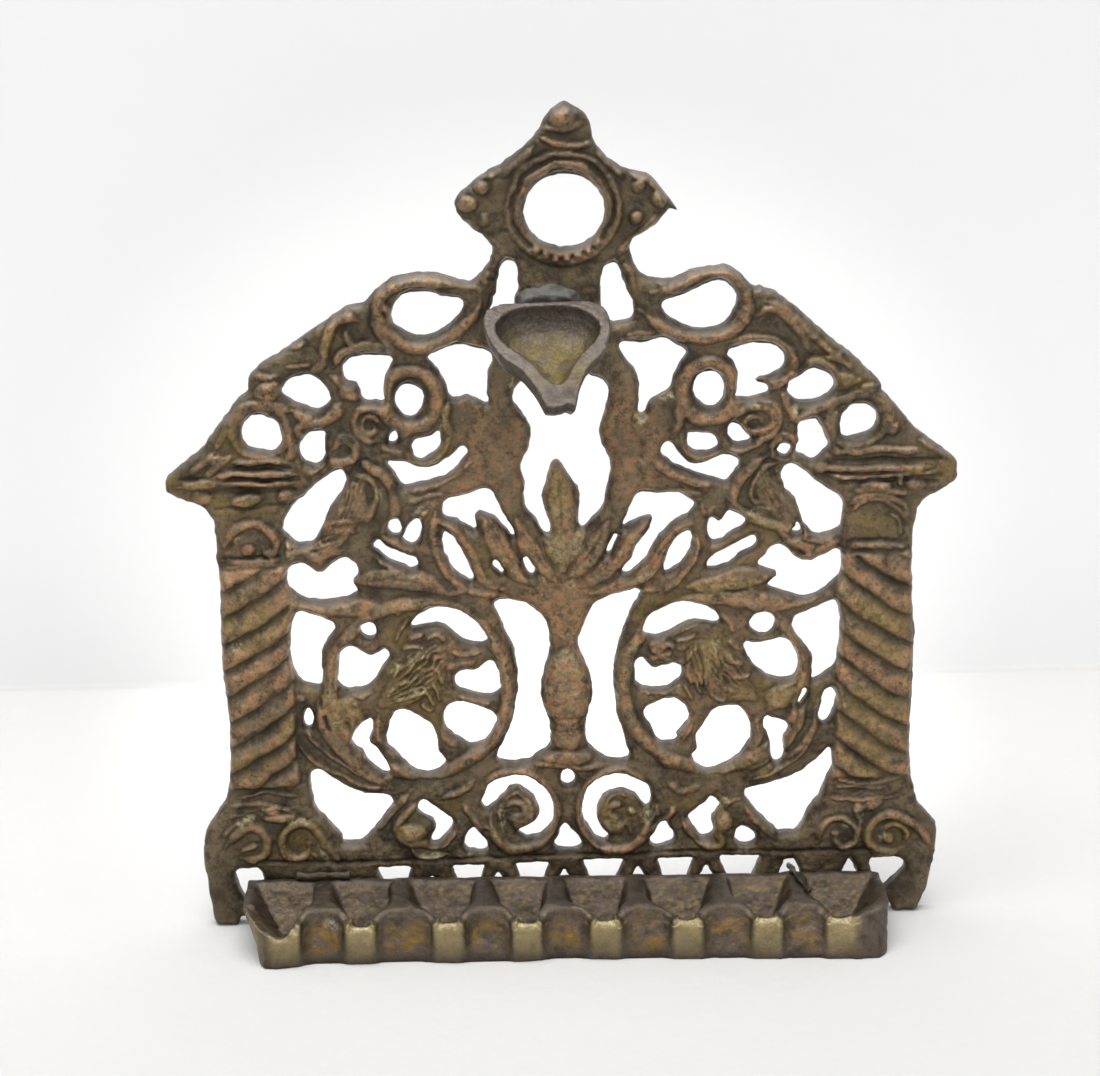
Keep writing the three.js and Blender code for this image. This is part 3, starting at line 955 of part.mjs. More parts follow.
function well(i) {
  const spout = spoutShares[i] * acrossMm;
  const back = -(trayBack + trayWall);
  const front = -(trayFront - trayWall);
  const sideOf = (divider, sign, isEnd) => {
    const wall = divider * acrossMm + sign * dividerHalf;
    const mouth = spout - sign * channelHalf;
    const bends = (isEnd ? endWellBendShares : wellBendShares).map(([across, deep]) => [
      wall + (mouth - wall) * (across / perThousand), -trayBack - trayDepth * (deep / perThousand),
    ]);
    return [[wall, back], ...bends, [mouth, front]];
  };
  const left = sideOf(dividerShares[i], 1, i === 0);
  const right = sideOf(dividerShares[i + 1], -1, i === spoutShares.length - 1);
  // Its back and sides slope in to a smaller floor behind the spout
  return loft([...left, ...right.reverse()], [trayFloor, trayHeight + pieceGap], (x, y, z) => {
    const share = 1 - wellFootNarrowing * Math.max(0, 1 - z / trayHeight);
    return [tapered(spout + (x - spout) * share, z), front + (y - front) * share, leaning(x, z)];
  });
}

function lipNotch(i) {
  const spout = spoutShares[i] * acrossMm;
  const dip = leaning(spout, trayHeight) - lipDips[i];
  const loop = [
    [spout - lipFootHalf, dip], [spout + lipFootHalf, dip],
    [spout + lipTopHalf, trayHeight + pieceGap], [spout - lipTopHalf, trayHeight + pieceGap],
  ];
  return uprightSlab(loop, -(trayFront - trayWall - pieceGap), -(trayFront + trayWall));
}

function brokenCorner() {
  const loop = brokenCornerShares.map(([x, z]) => [x * acrossMm, (z / perThousand) * trayHeight]);
  return uprightSlab(loop, -(trayFront - brokenCornerReach), -(trayFront + trayWall));
}

function oilTray() {
  const plan = ([x, y]) => [x * acrossMm, -trayBack - (y / perThousand) * trayDepth];
  const rim = trayRimShares.map(plan);
  const foot = trayFootShares.map(plan);
  const block = loft(foot, [0, trayHeight], (x, y, z, i, ring) => {
    const [rimX, rimY] = rim[foot.indexOf(ring[i])];
    const share = z / trayHeight;
    return [x + (rimX - x) * share, y + (rimY - y) * share, leaning(x, z)];
  });
  const niches = spoutShares.slice(1).map((x, i) => niche(spoutShares[i] * acrossMm, x * acrossMm));
  const wells = spoutShares.map((x, i) => well(i));
  const notches = spoutShares.map((x, i) => lipNotch(i));
  return block.subtract(Manifold.union([...niches, ...wells, ...notches, brokenCorner()]));
}

// The heart-shaped font: u runs across, v from the back rim to the tip, depth below the rim
const slope = THREE.MathUtils.degToRad(fontSlopeDegrees);
const turn = THREE.MathUtils.degToRad(fontTurnDegrees);

function fontPoint(u, v, depth) {
  const point = new THREE.Vector3(u, -v * Math.cos(slope) + depth * Math.sin(slope), 0);
  point.z = -v * Math.sin(slope) - depth * Math.cos(slope);
  point.applyAxisAngle(new THREE.Vector3(0, 0, 1), turn);
  return [point.x + fontCentreX, point.y - fontBackY, point.z + fontRimZ];
}

function bowl(halfShares, tipShares, depth, footScale, rimLift) {
  const unit = fontLength / perThousand;
  const right = halfShares.map(([u, v]) => [u * unit, v * unit]);
  const left = halfShares.map(([u, v]) => [-u * unit, v * unit]).reverse();
  const loop = [...right, ...tipShares.map(([u, v]) => [u * unit, v * unit]), ...left];
  const heart = fontHeartShare * unit;
  const levels = rimLift > 0 ? [-1, ...fontLevels] : fontLevels;
  return loft(loop, levels, (u, v, level) => {
    const t = Math.max(0, level);
    const scale = footScale + (1 - footScale) * Math.sqrt(1 - t * t);
    return fontPoint(u * scale, heart + (v - heart) * scale, level < 0 ? -rimLift : t * depth);
  });
}

function shamashFont() {
  const outer = bowl(fontHalfShares, fontTipShares, fontDepth, fontFootScale, 0);
  const inner = bowl(fontWellHalfShares, [], fontWellDepth, fontWellFootScale, 1);
  const root = new THREE.BoxGeometry(rootWidth, fontBackY, rootHeight);
  root.translate(fontCentreX + rootShift, -trayBack - fontBackY / 2, fontRimZ - rootHeight / 2 - rootDrop);
  return outer.add(body(root)).subtract(inner);
}

function shamashSolder() {
  const foot = fontRimZ - rootDrop + 1.5 * pieceGap;
  const loop = [];
  for (let i = 0; i <= 10; i += 1) {
    const angle = (i / 10) * Math.PI;
    loop.push([solderHalfWidth * Math.cos(angle), solderHeight * Math.sin(angle)]);
  }
  return loft(loop, [0, 1], (u, v, t) => [
    fontCentreX + rootShift + u * (1 - 0.25 * t),
    -trayBack - solderReach * t,
    foot + v * (1 - 0.55 * t),
  ]);
}

// Tubes for the small fixings
function wire(points, radius, sides) {
  const path = new THREE.CatmullRomCurve3(points.map((p) => new THREE.Vector3(...p)));
  const section = new THREE.Shape();
  section.absarc(0, 0, radius, 0, Math.PI * 2);
  const steps = 3 * (points.length - 1);
  const options = { extrudePath: path, steps, curveSegments: sides, bevelEnabled: false };
  return new THREE.ExtrudeGeometry(section, options);
}

function trayStrap() {
  const x = strapArchShare * acrossMm;
  const seat = leaning(x, trayHeight) + 1.5 * pieceGap + strapRadius;
  return body(wire([
    [x, -pieceGap, seat - 3 * pieceGap], [x + pieceGap, -trayBack - trayWall, seat + pieceGap / 2],
    [x + 2 * strapRadius, -trayBack - strapReach / 2, seat],
    [x + 5 * strapRadius, -trayBack - strapReach, seat],
  ], strapRadius, 4));
}

function rimBead() {
  const x = -318 * acrossMm;
  const seat = leaning(x - beadLength / 2, trayHeight) + pieceGap + beadRadius;
  const bead = wire([
    [x - beadLength / 2, -trayBack - 1.3, seat], [x, -trayBack - 1.2, seat + 0.1],
    [x + beadLength / 2, -trayBack - 1.3, seat],
  ], beadRadius, 5);
  return body(bead);
}

// Meshes with their own materials
function meshOf(name, solid, color, roughness, metalness) {
  const { vertProperties, triVerts } = solid.getMesh();
  const indexed = new THREE.BufferGeometry();
  indexed.setAttribute("position", new THREE.Float32BufferAttribute(vertProperties, 3));
  indexed.setIndex([...triVerts]);
  const geometry = indexed.toNonIndexed();
  geometry.computeVertexNormals();
  const material = new THREE.MeshStandardMaterial({ color, roughness, metalness });
  const mesh = new THREE.Mesh(geometry, material);
  mesh.name = name;
  return mesh;
}

const group = new THREE.Group();
group.name = "hanukkah_lamp";
group.add(
  meshOf("backplate", backPlate(), "#6f6050", 0.55, 0.75),
  meshOf("oil_tray", oilTray(), "#75685a", 0.5, 0.75),
  meshOf("shamash_font", shamashFont(), "#857b6c", 0.45, 0.75),
  meshOf("shamash_solder", shamashSolder(), "#74736d", 0.55, 0.6),
  meshOf("tray_strap", trayStrap(), "#77705f", 0.55, 0.7),
  meshOf("rim_bead", rimBead(), "#6c6760", 0.6, 0.6),
);

// The finished part stands on Z = 0 with its bounding box centred over the origin
const bounds = new THREE.Box3().setFromObject(group);
const centre = bounds.getCenter(new THREE.Vector3());
for (const mesh of group.children) {
  mesh.geometry.translate(-centre.x, -centre.y, -bounds.min.z);
}

export default group;
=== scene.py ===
"""Hanukkah lamp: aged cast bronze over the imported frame, with a plain studio round it."""
import math

import bpy
import numpy as np
from mathutils import Matrix, Vector
from mathutils.kdtree import KDTree


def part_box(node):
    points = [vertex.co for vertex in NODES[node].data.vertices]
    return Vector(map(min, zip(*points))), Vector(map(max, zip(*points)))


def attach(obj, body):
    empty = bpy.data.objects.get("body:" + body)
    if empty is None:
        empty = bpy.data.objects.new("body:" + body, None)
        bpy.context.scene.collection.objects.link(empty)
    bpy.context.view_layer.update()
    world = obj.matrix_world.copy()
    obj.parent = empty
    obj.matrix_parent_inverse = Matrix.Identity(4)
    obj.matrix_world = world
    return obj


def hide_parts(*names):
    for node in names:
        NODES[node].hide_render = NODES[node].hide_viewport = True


bl_info = {
    "name": "Cast Hanukkah Lamp",
    "version": (1, 0, 0),
    "blender": (4, 5, 0),
    "location": "View3D > Sidebar > Lamp",
    "description": "Dresses the lamp's frame with cast relief, aged bronze and a studio",
    "category": "Object",
}

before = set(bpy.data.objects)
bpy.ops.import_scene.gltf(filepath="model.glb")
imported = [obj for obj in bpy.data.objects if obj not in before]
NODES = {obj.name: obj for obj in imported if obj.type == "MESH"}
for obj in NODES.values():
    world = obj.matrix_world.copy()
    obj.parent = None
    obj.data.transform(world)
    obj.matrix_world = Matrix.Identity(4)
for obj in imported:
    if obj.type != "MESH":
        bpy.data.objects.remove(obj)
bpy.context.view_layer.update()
PLATE_LOW, PLATE_HIGH = (np.array(corner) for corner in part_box("backplate"))
FONT_LOW, FONT_HIGH = (np.array(corner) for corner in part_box("shamash_font"))

# Millimetres, in metres. The sizes below are in millimetres.
MM = 0.001
TRAY_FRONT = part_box("oil_tray")[0][1] / MM
PLATE_WIDTH = (PLATE_HIGH[0] - PLATE_LOW[0]) / MM
PLATE_HEIGHT = (PLATE_HIGH[2] - PLATE_LOW[2]) / MM
BACK_Y = PLATE_HIGH[1] / MM
PLATE_THICKNESS = 3.5
# One thousandth of the plate's width and of its height
ACROSS = PLATE_WIDTH / 1000
UP = PLATE_HEIGHT / 1000

# Relief of the plate
# Places are in thousandths of the plate: x from its middle, z from its feet, as they lie on its front.
# Half widths and heights are in millimetres.
# Cords keep their width: (half width, height, points).
CORDS = {
    "crest": [
        (0.7, 0.8, [(-28, 962), (-12, 957), (2, 955), (20, 953), (42, 957)]),
        (0.6, 0.6, [(-24, 975), (-8, 971), (10, 970), (30, 976)]),
        (0.8, 0.6, [(-70, 918), (-46, 934), (-32, 950)]),
        (0.8, 0.6, [(76, 915), (56, 934), (44, 948)]),
        (0.8, 0.7, [(-118, 904), (-100, 918), (-78, 920)]),
        (0.8, 0.7, [(84, 918), (106, 912), (122, 896)]),
        (0.8, 0.6, [(-122, 872), (-104, 856), (-80, 838), (-62, 822)]),
        (0.8, 0.6, [(124, 874), (106, 856), (84, 838), (66, 822)]),
        (0.9, 0.5, [(-60, 812), (-58, 798), (-50, 786)]),
        (0.9, 0.5, [(62, 812), (56, 798), (48, 786)]),
    ],
    "loops": [
        (1.3, 0.9, [(-100, 786), (-104, 762), (-132, 736), (-160, 722), (-190, 722), (-214, 738),
                    (-226, 762), (-218, 786), (-190, 798), (-150, 798), (-118, 792), (-100, 786)]),
        (0.7, 0.5, [(-130, 726), (-112, 724), (-94, 722)]),
        (1.3, 0.9, [(96, 762), (126, 740), (158, 728), (190, 728), (216, 742), (228, 766), (220, 792),
                    (196, 806), (168, 802), (136, 786), (110, 782)]),
        (0.7, 0.5, [(76, 728), (100, 732), (124, 732)]),
        (0.9, 0.7, [(-88, 790), (-100, 812), (-84, 800)]),
        (0.9, 0.7, [(90, 786), (84, 804), (72, 812)]),
    ],
    "left gable": [
        (0.7, 0.6, [(-372, 704), (-350, 722), (-316, 726)]),
        (0.6, 0.5, [(-346, 700), (-330, 702), (-312, 704)]),
        (1.1, 0.8, [(-318, 694), (-300, 702), (-292, 728), (-284, 748), (-266, 758), (-250, 752)]),
        (0.8, 0.6, [(-270, 744), (-262, 730), (-256, 724)]),
        (1.0, 0.8, [(-284, 700), (-272, 716), (-246, 724), (-216, 720)]),
        (0.8, 0.7, [(-234, 754), (-222, 734), (-208, 712)]),
        (0.8, 0.7, [(-222, 780), (-212, 762), (-210, 744)]),
        (0.7, 0.6, [(-384, 694), (-366, 688), (-350, 690)]),
        (1.1, 0.8, [(-408, 606), (-414, 628), (-404, 648), (-384, 656), (-356, 654), (-334, 648)]),
        (0.7, 0.6, [(-436, 602), (-424, 622), (-416, 640), (-402, 654)]),
        (1.0, 0.8, [(-344, 588), (-338, 604), (-346, 626), (-346, 640)]),
        (0.9, 0.8, [(-336, 650), (-322, 640), (-330, 628), (-326, 614)]),
        (1.2, 1.0, [(-316, 634), (-298, 634), (-284, 642), (-276, 656)]),
        (0.9, 0.7, [(-340, 660), (-322, 654), (-300, 646)]),
        (0.9, 0.8, [(-290, 690), (-276, 680), (-266, 668), (-250, 664)]),
        (1.0, 0.9, [(-292, 598), (-276, 616), (-260, 602), (-264, 588), (-286, 588), (-292, 598)]),
        (0.8, 0.7, [(-300, 594), (-302, 584), (-320, 570)]),
        (0.9, 0.9, [(-262, 644), (-246, 650), (-226, 646), (-208, 634)]),
        (0.8, 0.7, [(-230, 604), (-214, 600), (-200, 592)]),
    ],
    "left cornice": [
        (0.6, 0.9, [(-412, 590), (-388, 588), (-346, 587)]),
        (0.8, 1.0, [(-476, 562), (-444, 566), (-414, 575), (-380, 573), (-326, 572)]),
        (0.7, 0.9, [(-484, 558), (-440, 562), (-390, 562), (-330, 561)]),
        (0.8, 0.7, [(-452, 572), (-436, 580), (-420, 592), (-408, 596)]),
        (0.8, 0.7, [(-470, 574), (-448, 588), (-436, 600)]),
        (0.8, 0.8, [(-346, 470), (-330, 478), (-310, 466), (-290, 480), (-276, 500), (-270, 520)]),
        (0.6, 0.7, [(-436, 470), (-400, 467), (-356, 470)]),
        (0.6, 0.7, [(-436, 460), (-400, 463), (-360, 464)]),
    ],
    "left beast": [
        (1.2, 0.8, [(-252, 581), (-229, 571), (-215, 551), (-210, 529), (-221, 510), (-237, 495)]),
        (0.7, 0.7, [(-267, 566), (-247, 566), (-235, 549), (-241, 527), (-254, 510)]),
        (0.5, 1.0, [(-286, 525), (-273, 530), (-258, 527)]),
        (0.5, 1.0, [(-294, 511), (-279, 517), (-264, 514)]),
        (0.5, 1.0, [(-289, 502), (-274, 506), (-264, 501)]),
        (0.8, 0.7, [(-328, 482), (-298, 484), (-275, 493)]),
        (0.8, 0.7, [(-326, 471), (-303, 471), (-277, 480)]),
        (0.7, 0.6, [(-321, 477), (-311, 467), (-304, 459)]),
        (0.6, 1.0, [(-255, 554), (-250, 539), (-256, 525)]),
        (0.6, 1.0, [(-275, 550), (-267, 557), (-257, 559)]),
        (0.8, 0.7, [(-234, 498), (-212, 487), (-189, 475)]),
        (0.6, 1.0, [(-237, 468), (-212, 458), (-182, 450)]),
        (0.9, 0.7, [(-283, 605), (-270, 615), (-258, 605), (-264, 591), (-276, 586)]),
    ],
    "left bird": [
        (0.9, 0.6, [(-200, 551), (-167, 555), (-139, 567), (-114, 583)]),
        (0.7, 0.6, [(-198, 536), (-175, 541), (-147, 543)]),
        (0.9, 0.6, [(-142, 656), (-145, 634), (-138, 613)]),
        (1, 0.7, [(-198, 597), (-176, 584), (-153, 596), (-138, 615)]),
        (0.6, 0.5, [(-190, 524), (-183, 514), (-170, 526)]),
    ],
    "right gable": [
        (0.7, 0.6, [(250, 770), (272, 762), (298, 742), (330, 714), (362, 690)]),
        (0.9, 0.7, [(238, 752), (258, 760), (276, 752), (298, 730), (312, 708)]),
        (1.0, 0.8, [(204, 722), (236, 728), (268, 722), (288, 706), (290, 690), (284, 678)]),
        (0.8, 0.8, [(200, 726), (218, 738), (234, 752)]),
        (0.8, 0.7, [(224, 780), (232, 768), (236, 756)]),
        (0.9, 0.8, [(240, 678), (258, 670), (278, 674), (294, 686)]),
        (0.9, 0.7, [(300, 690), (318, 698), (338, 690), (348, 676), (344, 660)]),
        (0.6, 0.6, [(326, 704), (348, 698), (366, 688)]),
        (0.7, 0.7, [(342, 684), (360, 676), (378, 674)]),
        (1.0, 0.8, [(346, 644), (366, 656), (392, 654), (408, 640), (412, 622), (404, 606)]),
        (1.1, 0.9, [(284, 628), (304, 632), (326, 642), (350, 654)]),
        (0.9, 0.8, [(278, 664), (278, 648), (288, 636), (294, 624)]),
        (0.9, 0.8, [(324, 628), (336, 608), (340, 594), (356, 586)]),
        (0.7, 0.7, [(344, 638), (340, 622), (344, 606)]),
        (0.8, 0.8, [(226, 650), (250, 652), (266, 644), (272, 628), (262, 610), (240, 602)]),
        (0.8, 0.7, [(300, 606), (282, 606), (266, 600), (262, 590)]),
        (0.8, 0.7, [(206, 594), (226, 592), (246, 600), (258, 612)]),
        (0.8, 0.7, [(258, 582), (280, 584), (300, 574)]),
    ],
    "right cornice": [
        (0.8, 1.0, [(346, 589), (380, 590), (420, 591), (458, 588)]),
        (0.9, 1.0, [(320, 570), (350, 566), (400, 566), (470, 568)]),
        (0.6, 0.8, [(328, 560), (370, 556), (430, 559), (484, 562)]),
        (0.7, 0.6, [(448, 600), (472, 590), (488, 576)]),
        (0.7, 0.8, [(360, 522), (380, 532), (410, 532), (432, 522), (438, 500)]),
        (0.6, 0.7, [(366, 538), (400, 540), (440, 534)]),
        (0.6, 0.7, [(362, 470), (400, 474), (440, 470)]),
        (0.9, 0.8, [(280, 478), (290, 464), (310, 460), (332, 472), (352, 480)]),
        (0.7, 0.7, [(276, 490), (300, 480), (322, 470)]),
    ],
    "right beast": [
        (1.1, 0.9, [(264, 586), (239, 572), (221, 551), (214, 534), (227, 516), (250, 505), (288, 494),
                    (331, 485)]),
        (0.6, 0.7, [(274, 576), (251, 567), (238, 548), (241, 531), (255, 527)]),
        (0.8, 0.7, [(260, 503), (288, 489), (316, 482), (344, 485)]),
        (0.8, 0.7, [(278, 488), (301, 474), (317, 464), (339, 469)]),
        (0.7, 0.6, [(269, 567), (285, 547), (295, 525)]),
        (0.5, 1.0, [(259, 555), (267, 538), (277, 520)]),
        (0.9, 0.7, [(264, 603), (276, 610), (291, 603), (294, 591), (282, 581), (266, 586), (264, 598)]),
        (0.6, 0.6, [(245, 489), (225, 477), (202, 468)]),
    ],
    "right bird": [
        (0.9, 0.6, [(194, 551), (161, 554), (133, 567), (113, 582)]),
        (0.7, 0.6, [(178, 537), (148, 542), (123, 545)]),
        (0.9, 0.6, [(143, 649), (148, 629), (138, 608)]),
        (1, 0.7, [(203, 590), (181, 581), (161, 591), (150, 610)]),
        (0.6, 0.5, [(194, 524), (181, 515), (173, 527)]),
    ],
    "branches": [
        (1.1, 0.9, [(-160, 523), (-163, 489), (-149, 452), (-117, 424)]),
        (0.9, 0.8, [(161, 495), (169, 473), (154, 444), (123, 417)]),
        (0.7, 0.7, [(-157, 420), (-119, 426), (-81, 418), (-43, 407)]),
        (0.7, 0.7, [(123, 422), (90, 422), (54, 413), (34, 404)]),
    ],
    "left roundel": [
        (0.9, 0.8, [(-194, 382), (-176, 386), (-158, 386), (-139, 374), (-120, 361), (-103, 357)]),
        (0.5, 1.0, [(-208, 353), (-199, 358), (-187, 359), (-177, 354)]),
        (0.5, 1.0, [(-172, 346), (-185, 346), (-194, 341), (-199, 333), (-205, 324)]),
        (0.5, 1.0, [(-216, 311), (-206, 314), (-195, 315)]),
        (0.5, 1.0, [(-227, 293), (-224, 303), (-217, 309)]),
        (0.5, 1.0, [(-222, 294), (-209, 292), (-199, 297), (-188, 305)]),
        (0.5, 1.0, [(-194, 292), (-186, 299), (-177, 308)]),
        (0.5, 1.0, [(-181, 302), (-173, 293), (-168, 281)]),
        (0.5, 1.0, [(-186, 288), (-180, 280), (-171, 274)]),
        (0.5, 1.0, [(-200, 367), (-189, 373), (-179, 374)]),
        (0.5, 1.0, [(-179, 369), (-169, 370), (-159, 372), (-150, 363)]),
        (0.5, 1.0, [(-146, 350), (-131, 345), (-116, 347), (-103, 351)]),
        (0.6, 0.7, [(-152, 328), (-136, 334), (-121, 335), (-111, 338)]),
        (0.5, 1.0, [(-198, 392), (-210, 377), (-218, 362)]),
        (0.5, 1.0, [(-172, 333), (-160, 324), (-157, 309)]),
        (0.5, 1.0, [(-170, 312), (-163, 299), (-161, 286)]),
        (0.5, 1.0, [(-213, 335), (-216, 328), (-221, 320)]),
        (0.5, 1.0, [(-193, 330), (-185, 332), (-178, 328)]),
        (0.8, 0.8, [(-270, 364), (-282, 342), (-280, 316), (-268, 298), (-248, 298)]),
        (0.7, 0.7, [(-302, 289), (-284, 278), (-275, 260), (-273, 240)]),
        (0.8, 0.7, [(-241, 270), (-244, 252), (-229, 231), (-214, 210)]),
        (0.8, 0.7, [(-156, 261), (-154, 240), (-139, 227)]),
        (0.7, 0.7, [(-137, 293), (-114, 288), (-91, 282)]),
        (0.9, 0.8, [(-317, 292), (-313, 261), (-296, 230), (-266, 201), (-225, 177)]),
        (0.7, 0.7, [(-303, 263), (-291, 232), (-266, 209), (-235, 190)]),
        (0.8, 0.7, [(-312, 304), (-307, 287), (-313, 271)]),
        (0.7, 0.7, [(-214, 396), (-206, 408), (-191, 418)]),
        (0.8, 0.7, [(-333, 413), (-298, 407), (-260, 402), (-229, 403)]),
    ],
    "right roundel": [
        (0.9, 0.8, [(115, 357), (138, 369), (162, 380), (185, 382), (203, 375)]),
        (0.5, 1.0, [(177, 357), (182, 343), (184, 328), (182, 313), (184, 297)]),
        (0.5, 1.0, [(173, 352), (164, 343), (155, 333)]),
        (0.5, 1.0, [(168, 328), (166, 314), (171, 301), (179, 290)]),
        (0.5, 1.0, [(158, 331), (157, 318), (163, 303)]),
        (0.5, 1.0, [(190, 357), (195, 345), (195, 333), (201, 317), (198, 302)]),
        (0.5, 1.0, [(206, 332), (211, 322), (220, 312), (234, 313), (243, 318)]),
        (0.5, 1.0, [(203, 322), (201, 306), (211, 294), (223, 291)]),
        (0.5, 1.0, [(189, 295), (198, 284), (209, 281)]),
        (0.5, 1.0, [(152, 303), (157, 293), (166, 282)]),
        (0.5, 1.0, [(210, 358), (220, 350), (229, 345)]),
        (0.5, 1.0, [(175, 330), (173, 315), (177, 302)]),
        (0.5, 1.0, [(211, 342), (218, 332), (231, 327)]),
        (0.5, 1.0, [(110, 347), (123, 342), (139, 344)]),
        (0.6, 0.7, [(105, 332), (123, 338), (144, 331), (159, 333)]),
        (0.5, 1.0, [(139, 359), (154, 361), (167, 368)]),
        (0.5, 1.0, [(126, 352), (133, 354), (141, 349)]),
        (0.7, 0.7, [(97, 296), (118, 293), (141, 296)]),
        (0.8, 0.8, [(290, 366), (303, 343), (301, 315), (286, 298), (265, 293)]),
        (0.8, 0.7, [(162, 264), (160, 244), (144, 226)]),
        (0.8, 0.7, [(248, 260), (253, 234), (243, 214)]),
        (0.8, 0.7, [(330, 287), (326, 254), (305, 223), (274, 200), (238, 183)]),
        (0.7, 0.7, [(307, 274), (305, 251), (287, 229), (261, 214)]),
        (0.7, 0.7, [(231, 400), (264, 394), (297, 401), (330, 410)]),
        (0.7, 0.7, [(202, 393), (213, 383), (218, 365)]),
    ],
    "strands by the roundels": [
        (0.45, 0.7, [(-333, 285), (-328, 247), (-304, 221), (-269, 196), (-246, 187)]),
        (0.45, 0.7, [(-319, 287), (-313, 253), (-290, 225), (-255, 203), (-223, 193)]),
        (0.45, 0.7, [(-306, 285), (-300, 253), (-281, 228), (-265, 219)]),
        (0.45, 0.7, [(-346, 247), (-333, 221), (-310, 203), (-269, 184), (-223, 174)]),
        (0.45, 0.7, [(310, 285), (308, 253), (291, 228), (266, 206), (233, 190)]),
        (0.45, 0.7, [(324, 272), (321, 241), (302, 209), (272, 190), (233, 178)]),
        (0.45, 0.7, [(298, 288), (295, 259), (278, 235), (259, 219)]),
    ],
    "plinth lines": [
        (0.7, 0.6, [(-44, 204), (-10, 202), (24, 200), (58, 204)]),
        (0.7, 0.6, [(-30, 212), (0, 208), (34, 210)]),
        (0.5, 0.6, [(-202, 100), (-192, 88), (-172, 86), (-156, 88)]),
        (0.5, 0.6, [(350, 178), (390, 172), (420, 176), (446, 184)]),
    ],
    "left eye": [
        (0.9, 0.8, [(-208, 631), (-220, 645), (-237, 650), (-254, 648), (-261, 634), (-255, 619),
                    (-241, 611), (-226, 612)]),
        (0.7, 0.7, [(-225, 626), (-232, 638), (-245, 638), (-250, 629), (-243, 619), (-233, 623),
                    (-235, 630)]),
    ],
    "right eye": [
        (0.8, 0.8, [(211, 623), (223, 640), (243, 646), (259, 639), (265, 627), (255, 616), (238, 613),
                    (227, 623), (234, 634), (247, 632), (249, 625)]),
    ],
    "left capital": [
        (1, 0.9, [(-429, 485), (-419, 501), (-407, 511), (-392, 514), (-377, 509), (-366, 499),
                  (-362, 488), (-367, 478), (-377, 477), (-381, 486)]),
        (0.4, 0.5, [(-429, 470), (-397, 467), (-359, 468)]),
        (0.4, 0.5, [(-427, 459), (-397, 465), (-364, 461)]),
        (0.6, 0.6, [(-413, 437), (-398, 446), (-390, 451)]),
    ],
    "right capital": [
        (0.5, 0.7, [(361, 511), (371, 522), (386, 528), (404, 528), (420, 520), (431, 509), (436, 495)]),
        (0.45, 0.7, [(410, 511), (420, 509), (427, 498), (427, 483)]),
        (0.5, 0.6, [(367, 473), (393, 472), (424, 471)]),
        (0.5, 0.6, [(360, 458), (386, 462), (409, 456), (424, 449)]),
    ],
    "left volutes": [
        (1.1, 0.9, [(-444, 103), (-433, 119), (-417, 130), (-401, 127), (-390, 113), (-394, 97),
                    (-408, 88), (-425, 91)]),
        (0.7, 0.8, [(-425, 100), (-415, 103), (-405, 106)]),
        (1.1, 0.9, [(-299, 84), (-314, 107), (-328, 127), (-346, 135), (-362, 128), (-371, 111),
                    (-366, 95), (-351, 88), (-337, 97), (-337, 109)]),
        (0.4, 0.6, [(-332, 96), (-325, 87)]),
        (0.5, 0.7, [(-449, 116), (-432, 133), (-414, 139)]),
        (0.5, 0.6, [(-444, 158), (-410, 160), (-374, 157), (-351, 148)]),
        (0.45, 0.6, [(-428, 168), (-402, 173), (-381, 176), (-345, 168)]),
        (0.45, 0.5, [(-442, 145), (-424, 147), (-403, 144)]),
    ],
    "right volutes": [
        (0.8, 0.8, [(329, 92), (334, 112), (349, 125), (367, 125), (381, 112), (377, 95), (363, 89),
                    (352, 98), (357, 109)]),
        (1.1, 0.9, [(485, 78), (472, 100), (455, 116), (436, 127), (417, 128), (402, 118), (397, 100),
                    (407, 84), (427, 79), (444, 86)]),
        (0.7, 0.8, [(443, 92), (447, 104), (437, 115), (423, 116), (414, 106)]),
        (0.4, 0.6, [(375, 136), (385, 125), (386, 108), (379, 95)]),
        (0.45, 0.6, [(351, 168), (382, 168), (419, 166)]),
        (0.45, 0.6, [(341, 155), (372, 149), (417, 151), (445, 155)]),
    ],
    "middle scrolls": [
        (1.2, 0.9, [(-114, 151), (-101, 180), (-80, 193), (-59, 194), (-33, 181), (-16, 154), (-18, 126),
                    (-34, 102), (-63, 94), (-86, 103), (-96, 127), (-96, 148)]),
        (1.5, 0.9, [(-91, 151), (-81, 166), (-64, 174), (-49, 164), (-40, 147), (-47, 134), (-62, 127),
                  (-73, 135)]),
        (0.8, 0.8, [(-79, 150), (-70, 155), (-57, 153), (-52, 143), (-61, 138), (-70, 142)]),
        (0.5, 0.7, [(-86, 145), (-82, 127), (-80, 111)]),
        (0.4, 0.6, [(-107, 125), (-96, 117), (-90, 111)]),
        (1.2, 0.9, [(113, 154), (105, 175), (87, 186), (66, 194), (43, 187), (26, 169), (19, 146),
                    (24, 122), (40, 101), (66, 92), (92, 100), (110, 120), (118, 144)]),
        (1.5, 0.9, [(95, 152), (84, 165), (66, 170), (50, 160), (46, 140), (54, 124), (68, 120),
                    (79, 129)]),
        (0.8, 0.8, [(76, 147), (63, 151), (55, 142), (61, 132), (71, 133)]),
        (0.4, 0.6, [(79, 126), (84, 110)]),
        (0.4, 0.6, [(97, 139), (101, 121)]),
        (0.4, 0.6, [(117, 149), (121, 133)]),
    ],
    "small scrolls": [
        (1, 0.9, [(-189, 161), (-205, 145), (-219, 130), (-219, 117), (-207, 106), (-186, 106),
                  (-165, 100), (-149, 115), (-138, 131)]),
        (0.5, 0.8, [(-204, 103), (-194, 90), (-173, 86), (-157, 88)]),
        (1, 0.9, [(228, 152), (210, 148), (199, 134), (197, 113), (205, 97), (192, 90), (176, 98),
                  (160, 117), (152, 138)]),
        (0.8, 0.7, [(176, 171), (150, 164), (134, 180)]),
